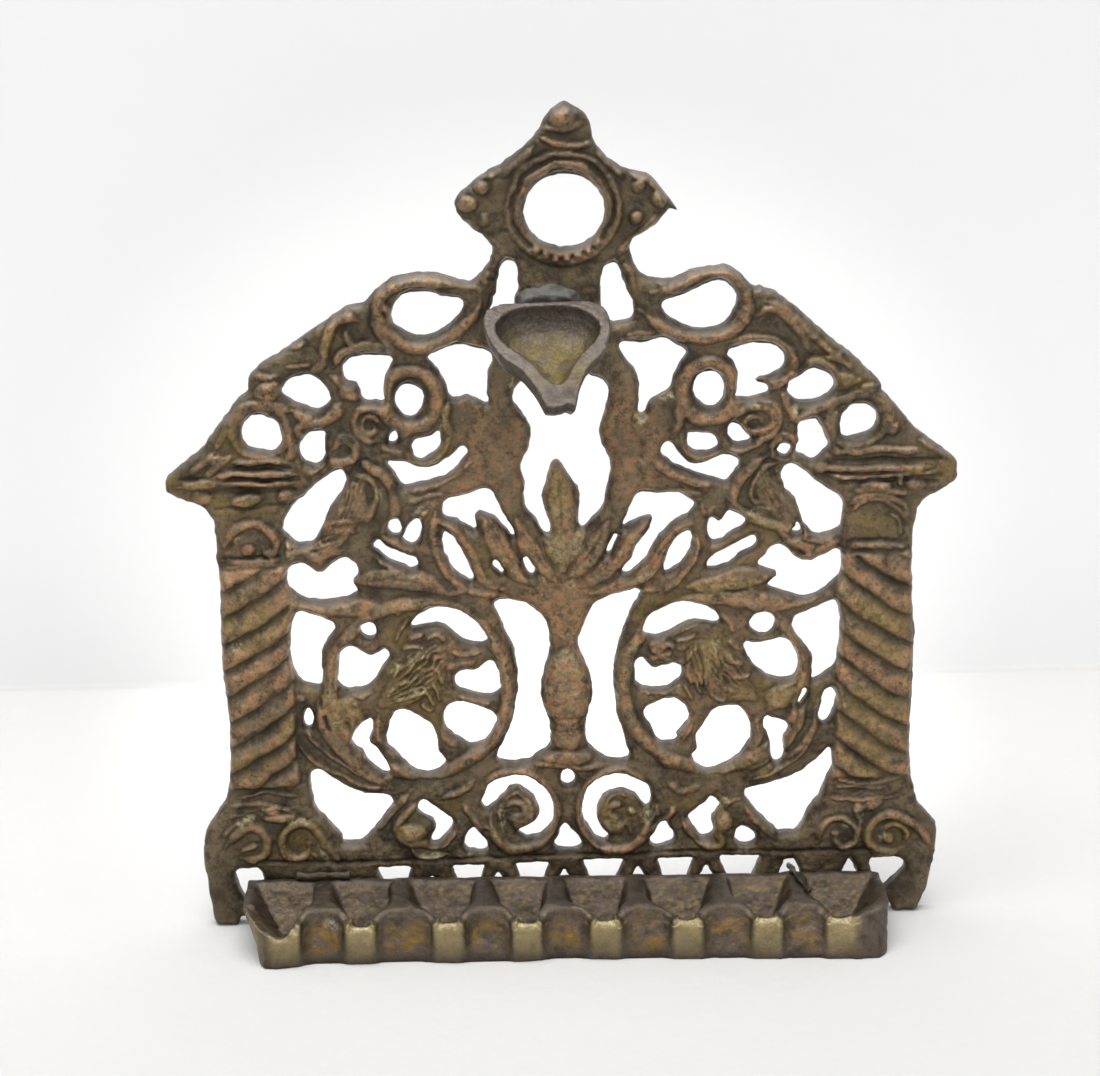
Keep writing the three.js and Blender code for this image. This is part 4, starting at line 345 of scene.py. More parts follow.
        (0.8, 0.7, [(-163, 160), (-137, 170), (-119, 185)]),
        (0.9, 0.8, [(-135, 152), (-120, 136), (-107, 117)]),
        (0.9, 0.8, [(144, 146), (129, 128), (113, 107)]),
        (0.8, 0.7, [(233, 144), (255, 120), (276, 101)]),
        (0.9, 0.7, [(-281, 155), (-253, 125), (-226, 146), (-200, 174)]),
    ],
}

# Strands that wind up the columns: (left, right, foot, top, pitch, climb from left to right, height)
STRANDS = [(-446, -344, 178, 462, 33, 56, 1.2), (348, 450, 178, 466, 35, -62, 1.2)]

# Combed hair and feathers, an oval of strands:
# (x, z, half along, half across, turn in degrees, strand in millimetres, height, seed)
COMBED = [
    (-184, 332, 42, 24, 40, 1.2, 0.9, 41), (-202, 302, 34, 14, 22, 1.1, 0.8, 42),
    (-152, 318, 22, 12, 100, 1.1, 0.6, 43), (172, 326, 38, 18, 98, 1.2, 0.9, 44),
    (208, 322, 36, 18, -48, 1.2, 0.8, 45), (-266, 546, 30, 12, 74, 1.0, 0.6, 46),
    (-302, 488, 30, 12, 26, 1.0, 0.6, 47), (262, 544, 32, 12, -62, 1.0, 0.6, 48),
    (306, 486, 34, 9, -16, 1.0, 0.6, 49), (-392, 154, 44, 7, 4, 1.1, 0.5, 50),
    (396, 156, 44, 8, -2, 1.1, 0.5, 51),
]

# Leaves are pointed at both ends: (half width, height, points)
LEAVES = {
    "tree": [
        (1.5, 0.8, [(-158, 516), (-138, 501), (-121, 476), (-101, 443), (-73, 425)]),
        (2.7, 0.9, [(-102, 522), (-90, 500), (-75, 473), (-58, 448), (-38, 432)]),
        (2.1, 0.9, [(-61, 512), (-47, 484), (-30, 459), (-7, 434)]),
        (3.7, 1, [(-12, 584), (-8, 560), (-5, 529), (-3, 492), (0, 451)]),
        (1.4, 0.7, [(-24, 504), (-17, 480), (-4, 456)]),
        (1.3, 0.7, [(24, 503), (18, 480), (6, 456)]),
        (2.3, 0.9, [(56, 507), (43, 482), (28, 458), (8, 441)]),
        (2.3, 0.9, [(109, 516), (91, 493), (72, 467), (47, 443), (21, 429)]),
        (1.9, 0.8, [(163, 503), (138, 491), (119, 464), (97, 442), (62, 425), (34, 419)]),
    ],
    "wings": [
        (2.6, 0.9, [(-264, 440), (-216, 444), (-172, 436), (-150, 424)]),
        (2.2, 0.9, [(158, 424), (196, 430), (236, 434), (272, 442)]),
        (1.2, 0.7, [(196, 440), (230, 444), (268, 440)]),
        (2.0, 0.8, [(-340, 412), (-304, 406), (-262, 408), (-222, 404)]),
        (2.0, 0.8, [(204, 410), (246, 410), (288, 400)]),
    ],
    "beasts": [
        (3.2, 0.6, [(-300, 492), (-276, 520), (-262, 552), (-262, 574)]),
        (3.0, 0.6, [(306, 492), (280, 520), (258, 546), (254, 570)]),
        (4.5, 0.45, [(-236, 284), (-206, 306), (-178, 334), (-150, 356)]),
        (4.5, 0.45, [(244, 284), (212, 306), (184, 334), (158, 356)]),
        (1.8, 0.8, [(-300, 292), (-284, 284), (-262, 262)]),
        (1.8, 0.8, [(300, 296), (276, 284), (262, 268)]),
    ],
}

# Grooves: (half width, depth, points)
GROOVES = {
    "leaf veins": [
        (0.4, 0.5, [(-158, 508), (-141, 496), (-123, 473), (-104, 443)]),
        (0.4, 0.5, [(-95, 512), (-82, 487), (-65, 460)]),
        (0.4, 0.5, [(-82, 517), (-70, 492), (-52, 462)]),
        (0.4, 0.5, [(-54, 507), (-40, 479), (-20, 452)]),
        (0.4, 0.5, [(49, 497), (37, 475), (19, 456)]),
        (0.4, 0.5, [(98, 509), (80, 489), (62, 465), (36, 441)]),
        (0.4, 0.5, [(143, 491), (123, 471), (108, 452), (80, 435)]),
        (0.35, 0.5, [(-8, 576), (-5, 550), (-3, 520), (-2, 500)]),
        (0.3, 0.35, [(-250, 441), (-216, 443), (-176, 435)]),
        (0.3, 0.35, [(176, 428), (210, 432), (250, 437)]),
        (0.35, 0.4, [(-292, 506), (-274, 530), (-264, 556)]),
        (0.35, 0.4, [(296, 508), (276, 530), (262, 552)]),
    ],
    "cornices": [
        (0.5, 0.6, [(-480, 567), (-430, 568), (-330, 566)]),
        (0.5, 0.6, [(-410, 582), (-340, 580)]),
        (0.6, 0.6, [(344, 579), (400, 578), (478, 578)]),
        (0.5, 0.5, [(330, 562), (400, 562), (480, 556)]),
        (0.6, 0.6, [(-456, 552), (-400, 553), (-336, 552)]),
        (0.6, 0.6, [(350, 550), (420, 552), (474, 550)]),
        (0.5, 0.5, [(-436, 532), (-390, 534), (-352, 534)]),
    ],
    "rails": [
        (0.6, 0.5, [(-400, 84), (-300, 82), (-180, 82), (-60, 84), (60, 84), (180, 85), (400, 84)]),
        (0.5, 0.5, [(-430, 470), (-395, 472), (-358, 474)]),
        (0.5, 0.5, [(362, 478), (400, 480), (438, 478)]),
        (0.5, 0.5, [(-428, 182), (-390, 178), (-344, 186)]),
    ],
    "vase": [
        (0.4, 0.35, [(-17, 264), (3, 261), (24, 264)]),
        (0.35, 0.3, [(-18, 250), (3, 247), (24, 250)]),
        (0.4, 0.35, [(-26, 224), (3, 220), (32, 224)]),
    ],
}

# Rings: (x, z, half across, half up, half width, height)
RINGS = {
    "crest": [(3, 880, 55, 50, 0.9, 0.9), (3, 880, 68, 63, 0.7, 0.6)],
    "gables": [(-189, 660, 34, 33, 1.5, 0.9), (184, 663, 34, 34, 1.5, 0.9),
               (-377, 626, 36, 31, 0.8, 0.5), (370, 626, 36, 31, 0.8, 0.5)],
    "roundels": [(-187, 303, 114, 107, 1.3, 1.0), (192, 303, 115, 107, 1.3, 1.0),
                 (-187, 303, 122, 114, 0.5, 0.5), (192, 303, 123, 114, 0.5, 0.5)],
}

# Bosses: (x, z, half across, half up, height, turn in degrees)
BOSSES = [
    (5, 984, 18, 15, 1.0, 0), (-95, 905, 9, 8, 0.8, 0), (-113, 886, 11, 10, 1.0, 0),
    (-94, 868, 9, 8, 0.8, 0), (95, 905, 9, 8, 0.8, 0), (120, 890, 11, 10, 1.0, 0),
    (92, 868, 9, 8, 0.8, 0), (-366, 672, 17, 13, 1.1, 20), (-318, 638, 10, 9, 0.9, 0),
    (-268, 670, 11, 9, 1.0, 0), (-372, 648, 10, 6, 0.6, 0), (-430, 590, 10, 8, 0.8, 0),
    (-404, 640, 8, 8, 0.6, 0), (-397, 543, 20, 8, 1.0, 5), (-348, 545, 12, 9, 1.0, 0),
    (-452, 547, 14, 7, 0.7, -20), (352, 674, 20, 10, 0.9, 8), (404, 640, 8, 9, 0.7, 0),
    (416, 616, 10, 8, 0.9, 0), (386, 664, 12, 7, 0.6, -10), (396, 545, 20, 8, 1.1, 0),
    (446, 546, 15, 7, 0.9, 0), (426, 553, 5, 8, 0.8, 0), (328, 568, 12, 7, 0.8, 0),
    (98, 632, 7, 12, 1.0, 0), (-196, 622, 14, 8, 0.7, 20),
    (282, 594, 10, 9, 0.7, 0), (290, 638, 7, 8, 0.9, 0), (-240, 576, 16, 7, 0.9, -40),
    (-293, 510, 12, 8, 0.8, 20), (-262, 540, 18, 26, 0.9, 20), (256, 548, 14, 9, 0.8, -30),
    (-300, 478, 14, 8, 0.8, 15), (330, 480, 16, 6, 0.6, -20), (-346, 480, 5, 12, 0.7, 0),
    (-346, 416, 7, 8, 0.8, 0), (-398, 482, 9, 7, 0.7, 0),
    (-280, 280, 16, 18, 0.9, 0), (-356, 260, 9, 12, 0.8, 0), (278, 284, 20, 15, 0.8, 0),
    (-338, 293, 6, 5, 0.6, 0), (120, 352, 12, 8, 0.9, 0), (150, 350, 7, 5, 0.6, 0),
    (-170, 324, 6, 5, 0.7, 0), (4, 302, 30, 52, 1.3, 0), (4, 240, 19, 22, 0.8, 0),
    (4, 212, 34, 9, 0.8, 0), (352, 105, 6, 5, 0.7, 0), (423, 98, 8, 7, 0.8, 0),
    (-201, 119, 20, 13, 1.2, 0), (205, 124, 13, 15, 1.1, 0), (-384, 152, 14, 6, 0.8, -8),
    (-372, 142, 24, 6, 0.9, 5), (-416, 138, 14, 6, 0.8, 20), (382, 138, 8, 8, 0.9, 40),
    (400, 142, 14, 6, 0.7, 20), (60, 132, 9, 8, 0.9, 0), (86, 140, 6, 6, 0.9, 0),
    (-64, 134, 9, 6, 0.8, 0), (-230, 192, 6, 5, 0.6, 0),
]

# Little beads under the ring's hole: their angles in degrees, the oval that they lie on and their size
BEAD_ANGLES = range(236, 318, 13)
BEAD_OVAL = (3, 880, 62, 57)
BEAD_SIZE = (6, 5.5, 1.3)

# Patches of pale, dark, olive and coppery metal: (x, z, half across, half up, turn in degrees)
PALE = [
    (-232, 546, 4, 8, 10), (354, 556, 13, 3, -12), (364, 552, 4, 5, 0), (248, 518, 14, 4, 12),
    (296, 496, 9, 9, -30), (243, 644, 7, 4, 0), (290, 638, 6, 7, 0), (98, 632, 8, 14, 0),
    (-176, 528, 15, 5, 28), (126, 660, 16, 5, -10), (-150, 632, 5, 10, 0), (-64, 680, 4, 12, 0),
    (-345, 480, 5, 13, 0), (-418, 364, 8, 5, 30), (-345, 416, 6, 7, 0), (-410, 494, 5, 4, 0),
    (-304, 306, 4, 16, 25), (-296, 266, 5, 8, 0), (-12, 478, 6, 28, 12), (18, 480, 6, 22, -8),
    (10, 432, 7, 4, 20), (-28, 440, 5, 9, 30), (-184, 350, 16, 3, 20), (-196, 338, 4, 12, -30),
    (-216, 332, 4, 10, -30), (-200, 316, 22, 3, 25), (-192, 300, 20, 3, 20), (240, 424, 5, 3, 0),
    (-386, 155, 12, 5, -8), (-416, 138, 13, 6, 20), (-318, 98, 4, 16, 25), (-245, 88, 5, 7, 0),
    (-228, 194, 4, 5, 0), (-172, 89, 18, 3, 0), (384, 132, 5, 12, 10), (415, 104, 4, 9, 0),
    (378, 94, 9, 3, 30), (368, 119, 5, 5, 0), (208, 152, 7, 5, -30), (-83, 130, 4, 20, 4),
    (-95, 114, 4, 9, 20), (86, 140, 5, 5, 0), (107, 136, 5, 12, 0), (68, 130, 4, 4, 0),
    (-344, 138, 20, 4, 0), (148, 296, 4, 6, 0), (194, 352, 5, 10, 0), (-345, 590, 5, 4, 0),
]
# Dark patches: soot, and on the flanking beasts painted shade standing in for soft dents
SOOTY = [
    (268, 722, 36, 18, -35), (-262, 716, 32, 16, 35), (326, 690, 26, 14, -40), (-330, 690, 26, 14, 40),
    (0, 830, 40, 16, 0), (-96, 760, 16, 26, 0), (100, 752, 16, 26, 0), (-290, 640, 20, 14, 0),
    (-125, 638, 16, 17, 0), (-73, 620, 18, 22, 0), (126, 640, 16, 17, 0), (88, 604, 18, 18, 0),
    (-262, 586, 16, 22, 0), (262, 590, 18, 18, 0), (-200, 690, 30, 10, 0), (196, 694, 30, 10, 0),
    (-240, 470, 24, 10, -20), (232, 470, 24, 10, 20), (3, 985, 30, 26, 0), (-40, 940, 40, 16, 40),
    (50, 938, 40, 16, -40), (-330, 236, 14, 40, 30), (326, 236, 14, 40, -30), (-78, 300, 10, 60, 0),
    (84, 300, 10, 60, 0), (-380, 130, 40, 10, 0), (390, 124, 40, 10, 0), (400, 60, 60, 50, 0),
    (-420, 40, 50, 50, 0), (-110, 400, 30, 8, 0), (116, 398, 30, 8, 0),
]
OLIVE = [
    (-148, 612, 13, 36, 0), (-176, 588, 28, 8, 0), (-280, 280, 24, 26, 0), (-356, 258, 12, 16, 0),
    (-400, 392, 36, 30, 20), (-400, 214, 34, 14, 20), (-196, 300, 44, 40, 0), (-168, 262, 14, 30, 0),
    (186, 344, 30, 34, 0), (270, 292, 56, 18, 0), (250, 498, 26, 20, 0),
    (396, 500, 24, 20, 0), (336, 716, 14, 34, -45), (366, 672, 20, 10, 0), (-414, 612, 18, 22, 0),
    (-300, 745, 16, 30, 40), (-480, 560, 30, 14, 0), (-430, 545, 20, 10, 0), (-400, 534, 40, 10, 0),
    (470, 566, 30, 16, 0), (400, 390, 44, 16, -25), (400, 350, 44, 14, -25), (396, 270, 40, 24, -25),
    (390, 232, 36, 12, -25), (392, 200, 36, 16, -25), (-8, 540, 12, 34, 0), (-10, 474, 14, 30, 0),
    (72, 150, 34, 30, 0), (-200, 122, 20, 14, 0), (205, 116, 18, 26, 0), (150, 150, 26, 10, -20),
    (-152, 150, 26, 10, 20), (-404, 100, 26, 16, 0), (420, 102, 34, 26, 0), (-345, 112, 30, 26, 0),
    (230, 190, 40, 12, 0), (120, 400, 60, 14, 10), (-204, 380, 20, 30, -30), (-88, 460, 20, 26, 30),
    (200, 426, 60, 8, 0), (-320, 300, 20, 10, 0),
]
COPPERY = [
    (-92, 575, 46, 60, 0), (96, 575, 46, 60, 0), (-150, 566, 30, 14, 25), (152, 566, 30, 14, -25),
    (4, 300, 32, 90, 0), (4, 400, 40, 30, 0),
]


def thousandths(points):
    """Places in thousandths of the plate as millimetres."""
    return np.array([(x * ACROSS, z * UP) for x, z in points])


def smooth_line(points, step=0.8):
    """A Catmull-Rom curve through the points, resampled about every step millimetres."""
    if len(points) < 3:
        return np.array(points)
    ends = [2 * points[0] - points[1], *points, 2 * points[-1] - points[-2]]
    out = []
    for a, b, c, d in zip(ends, ends[1:], ends[2:], ends[3:]):
        count = max(2, int(np.hypot(*(c - b)) / step))
        for t in np.arange(count) / count:
            out.append(0.5 * (2 * b + (c - a) * t + (2 * a - 5 * b + 4 * c - d) * t ** 2
                              + (3 * b - a - 3 * c + d) * t ** 3))
    return np.array(out + [points[-1]])


class ReliefMap:
    """Two grids over the plate's front: the relief's height in millimetres, and a crease's share."""

    CELL = 0.25
    BORDER = 1
    CREASE_HALF = 0.4
    TAPER_SHARE = 0.12

    def __init__(self):
        self.x0 = PLATE_LOW[0] / MM - self.BORDER
        self.z0 = -self.BORDER
        self.columns = int((PLATE_WIDTH + 2 * self.BORDER) / self.CELL) + 2
        self.rows = int((PLATE_HEIGHT + 2 * self.BORDER) / self.CELL) + 2
        self.xs = self.x0 + np.arange(self.columns) * self.CELL
        self.zs = self.z0 + np.arange(self.rows) * self.CELL
        self.height = np.zeros((self.rows, self.columns))
        self.crease = np.zeros((self.rows, self.columns))

    def window(self, low, high, margin):
        """The part of the grid between two corners, with a margin, and its points."""
        i0 = max(0, int((low[0] - margin - self.x0) / self.CELL))
        i1 = min(self.columns, int((high[0] + margin - self.x0) / self.CELL) + 2)
        j0 = max(0, int((low[1] - margin - self.z0) / self.CELL))
        j1 = min(self.rows, int((high[1] + margin - self.z0) / self.CELL) + 2)
        x, z = np.meshgrid(self.xs[i0:i1], self.zs[j0:j1])
        return (slice(j0, j1), slice(i0, i1)), x, z

    def along(self, points, half):
        """The grid window round a line, each point's distance to it, and its share of the way along."""
        line = smooth_line(thousandths(points))
        where, x, z = self.window(line.min(0), line.max(0), half + 2 * self.CREASE_HALF)
        steps = np.hypot(*(line[1:] - line[:-1]).T)
        run = np.concatenate([[0], np.cumsum(steps)])
        near = np.full(x.shape, 1e9)
        share = np.zeros(x.shape)
        for a, b, length, start in zip(line, line[1:], steps, run):
            if length == 0:
                continue
            t = np.clip(((x - a[0]) * (b[0] - a[0]) + (z - a[1]) * (b[1] - a[1])) / length ** 2, 0, 1)
            d = np.hypot(x - a[0] - t * (b[0] - a[0]), z - a[1] - t * (b[1] - a[1]))
            closer = d < near
            near[closer] = d[closer]
            share[closer] = ((start + t * length) / run[-1])[closer]
        return where, near, share

    def raise_to(self, where, out, height, beyond):
        """A rounded form, out being 1 at its edge, with a chased crease just beyond that edge."""
        rise = height * np.clip(1 - out ** 2, 0, 1) ** 0.4
        crease = np.where(beyond > -0.1, np.exp(-(beyond / self.CREASE_HALF) ** 2), 0)
        covered = np.clip(self.height[where] / 0.5, 0, 1)
        self.crease[where] = np.maximum(self.crease[where] * (rise < 0.05), crease * (1 - covered))
        self.height[where] = np.maximum(self.height[where], rise)

    def cord(self, half, height, points):
        """A round cord along the points, which thins at its ends."""
        where, near, share = self.along(points, half)
        width = half * np.clip(np.minimum(share, 1 - share) / self.TAPER_SHARE, 0.35, 1)
        self.raise_to(where, near / width, height * width / half, near - width)

    def leaf(self, half, height, points):
        """A leaf along the points, widest in its middle."""
        where, near, share = self.along(points, half)
        width = half * np.sqrt(np.sin(np.pi * np.clip(share, 0.02, 0.98)))
        self.raise_to(where, near / width, height * (0.4 + 0.6 * width / half), near - width)

    def ring(self, x, z, rx, rz, half, height):
        turns = np.linspace(0, 2 * math.pi, 25)
        points = [(x + rx * math.cos(a), z + rz * math.sin(a)) for a in turns]
        where, near, _share = self.along(points, half)
        self.raise_to(where, near / half, height, near - half)

    def twist(self, left, right, foot, top, pitch, climb, height):
        """Strands that wind up a column, steep on one flank and hollow on the other."""
        low, high = thousandths([(left, foot), (right, top)])
        where, x, z = self.window(low, high, 0)
        across = np.clip((x - low[0]) / (high[0] - low[0]), 0, 1)
        up = np.clip((z - low[1]) / (high[1] - low[1]), 0, 1)
        uphill = across if climb > 0 else 1 - across
        turn = ((z - abs(climb) * UP * uphill ** 1.5) / (pitch * UP)) % 1
        strand = 2.4 * turn ** 0.45 * (1 - turn) ** 0.9
        fade = np.clip(7 * across * (1 - across) * 4, 0, 1) * np.clip(12 * up * (1 - up) * 4, 0, 1)
        self.height[where] = np.maximum(self.height[where], height * strand * fade)

    def groove(self, half, depth, points):
        where, near, _share = self.along(points, half)
        self.height[where] -= depth * np.clip(1 - (near / half) ** 2, 0, 1)

    def oval(self, x, z, rx, rz, turn):
        """The grid window round an oval, and each point's squared distance from its middle in radii."""
        centre = np.array([x * ACROSS, z * UP])
        where, gx, gz = self.window(centre, centre, max(rx * ACROSS, rz * UP) + 2 * self.CREASE_HALF)
        angle = math.radians(turn)
        dx, dz = gx - centre[0], gz - centre[1]
        u = (dx * math.cos(angle) + dz * math.sin(angle)) / (rx * ACROSS)
        v = (-dx * math.sin(angle) + dz * math.cos(angle)) / (rz * UP)
        return where, u ** 2 + v ** 2

    def boss(self, x, z, rx, rz, height, turn=0):
        where, out = self.oval(x, z, rx, rz, turn)
        self.raise_to(where, np.sqrt(out), height, (np.sqrt(out) - 1) * min(rx * ACROSS, rz * UP))

    def combed(self, x, z, rx, rz, turn, strand, height, seed):
        """Wavy strands side by side in an oval, which fade at its edge."""
        where, out = self.oval(x, z, rx, rz, turn)
        gx, gz = np.meshgrid(self.xs[where[1]], self.zs[where[0]])
        angle = math.radians(turn)
        across = gz * math.cos(angle) - gx * math.sin(angle) + 0.9 * value_noise(gx, gz, 3.2, seed)
        wave = 0.5 + 0.5 * np.cos(2 * math.pi * across / strand)
        fade = np.clip(1.6 - 1.6 * out, 0, 1)
        self.height[where] += height * fade * (wave - 0.6)
        self.crease[where] = np.maximum(self.crease[where], 0.5 * fade * (1 - wave) ** 3)

    def patches(self, ovals):
        """A grid that is 1 in the middle of each oval and 0 outside them all."""
        grid = np.zeros_like(self.height)
        for x, z, rx, rz, turn in ovals:
            where, out = self.oval(x, z, 1.3 * rx, 1.3 * rz, turn)
            grid[where] = np.maximum(grid[where], np.clip(1.6 - 1.6 * out, 0, 1))
        return grid

    def at(self, grid, x, z):
        """A grid's values at points, between its own."""
        u = np.clip((x - self.x0) / self.CELL, 0, self.columns - 1.001)
        v = np.clip((z - self.z0) / self.CELL, 0, self.rows - 1.001)
        i, j = u.astype(int), v.astype(int)
        fu, fv = u - i, v - j
        low = grid[j, i] * (1 - fu) + grid[j, i + 1] * fu
        high = grid[j + 1, i] * (1 - fu) + grid[j + 1, i + 1] * fu
        return low * (1 - fv) + high * fv


def value_noise(x, z, size, seed):
    """Smooth noise from -1 to 1 with features about size millimetres wide, the same on every run."""
    cells = 256
    table = np.random.default_rng(seed).uniform(-1, 1, (cells, cells))
    u, v = x / size, z / size
    i, j = np.floor(u).astype(int), np.floor(v).astype(int)
    fu, fv = u - i, v - j
    fu, fv = fu * fu * (3 - 2 * fu), fv * fv * (3 - 2 * fv)
    i0, i1, j0, j1 = i % cells, (i + 1) % cells, j % cells, (j + 1) % cells
    low = table[j0, i0] * (1 - fu) + table[j0, i1] * fu
    high = table[j1, i0] * (1 - fu) + table[j1, i1] * fu
    return low * (1 - fv) + high * fv


def layered(x, z, layers):
    """The sum of noise layers: share, size in millimetres and seed of each."""
    return sum(share * value_noise(x, z, size, seed) for share, size, seed in layers)


def blurred(grid, radius):
    """Three box blurs in a row, close to a Gaussian of that radius in cells."""
    size = 2 * radius + 1
    out = grid
    for axis in (0, 1) * 3:
        padded = np.pad(out, [(radius + 1, radius) if a == axis else (0, 0) for a in (0, 1)], mode="edge")
        total = np.cumsum(padded, axis=axis)
        out = (np.take(total, np.arange(size, total.shape[axis]), axis=axis)
               - np.take(total, np.arange(0, total.shape[axis] - size), axis=axis)) / size
    return out


# Meshes
def copy_of(node, name):
    """A new object with a copy of a CAD node's mesh, in the row frame."""
    mesh = NODES[node].data.copy()
    mesh.name = name
    mesh.materials.clear()
    piece = bpy.data.objects.new(name, mesh)
    bpy.context.scene.collection.objects.link(piece)
    return piece


def applied(piece):
    """Puts the piece's modifiers into its mesh."""
    graph = bpy.context.evaluated_depsgraph_get()
    mesh = bpy.data.meshes.new_from_object(piece.evaluated_get(graph))
    piece.modifiers.clear()
    old = piece.data
    piece.data = mesh
    mesh.name = piece.name
    bpy.data.meshes.remove(old)


def remeshed(piece, voxel_mm):
    """Gives the piece an even mesh of that spacing."""
    modifier = piece.modifiers.new("Voxels", "REMESH")
    modifier.mode = "VOXEL"
    modifier.voxel_size = voxel_mm * MM
    modifier.use_smooth_shade = True
    applied(piece)


def smoothed(piece, rounds):
    """Softens the piece's edges, as a casting's are."""
    modifier = piece.modifiers.new("Soften", "SMOOTH")
    modifier.iterations = rounds
    modifier.factor = 0.5
    applied(piece)


def coordinates(mesh):
    flat = np.empty(len(mesh.vertices) * 3)
    mesh.vertices.foreach_get("co", flat)
    return flat.reshape(-1, 3)


def set_coordinates(mesh, points):
    mesh.vertices.foreach_set("co", points.ravel())
    mesh.update()


def normals(mesh):
    flat = np.empty(len(mesh.vertices) * 3)
    mesh.vertex_normals.foreach_get("vector", flat)
    return flat.reshape(-1, 3)


def set_wear(mesh, **fields):
    """Where the metal is rubbed, grimy, olive or pale, and where light or shade is painted on it: a share
    at each vertex, for the material to read.
    """
    for name, values in fields.items():
        layer = mesh.attributes.new(name, "FLOAT", "POINT")
        shares = np.broadcast_to(values, len(mesh.vertices))
        layer.data.foreach_set("value", np.clip(shares, 0, 1).astype(np.float32))


def shade_smooth(piece):
    piece.data.polygons.foreach_set("use_smooth", np.ones(len(piece.data.polygons), dtype=bool))


def dress(piece, node, material):
    """The finished piece stands for its CAD node and takes its material."""
    shade_smooth(piece)
    piece.data.materials.append(material)
    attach(piece, "root")
    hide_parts(node)


# Materials
def linear(hex_colour):
    """An sRGB hex colour as linear RGBA."""
    parts = [int(hex_colour[i:i + 2], 16) / 255 for i in (1, 3, 5)]
    return tuple(c / 12.92 if c <= 0.04045 else ((c + 0.055) / 1.055) ** 2.4 for c in parts) + (1.0,)


def add_node(tree, kind, settings=None, links=None):
    """A shader node: settings are its properties, and links are its sockets, by name or number."""
    node = tree.nodes.new(kind)
    for name, value in (settings or {}).items():
        setattr(node, name, value)
    for socket, value in (links or {}).items():
        if isinstance(value, bpy.types.NodeSocket):
            tree.links.new(value, node.inputs[socket])
        else:
            node.inputs[socket].default_value = value
    return node


# Noise in the metal's skin: size in millimetres, detail and roughness.
# The sand's own grain is about 0.2 mm. The pits are drawn coarser, so that the render shows them.
SKIN_NOISE = {
    "mottle": (4.0, 8.0, 0.7), "olive cloud": (3.0, 5.0, 0.7), "rub cloud": (2.2, 8.0, 0.75),
    "specks": (0.9, 5.0, 0.75), "dust cloud": (2.0, 4.0, 0.55), "crust cloud": (1.2, 5.0, 0.75),
    "sheen": (3.4, 5.0, 0.65), "pits": (0.8, 6.0, 0.7), "waves": (4.5, 3.0, 0.55),
}
PIT_DEPTH = 0.35 * MM
WAVE_DEPTH = 0.5 * MM


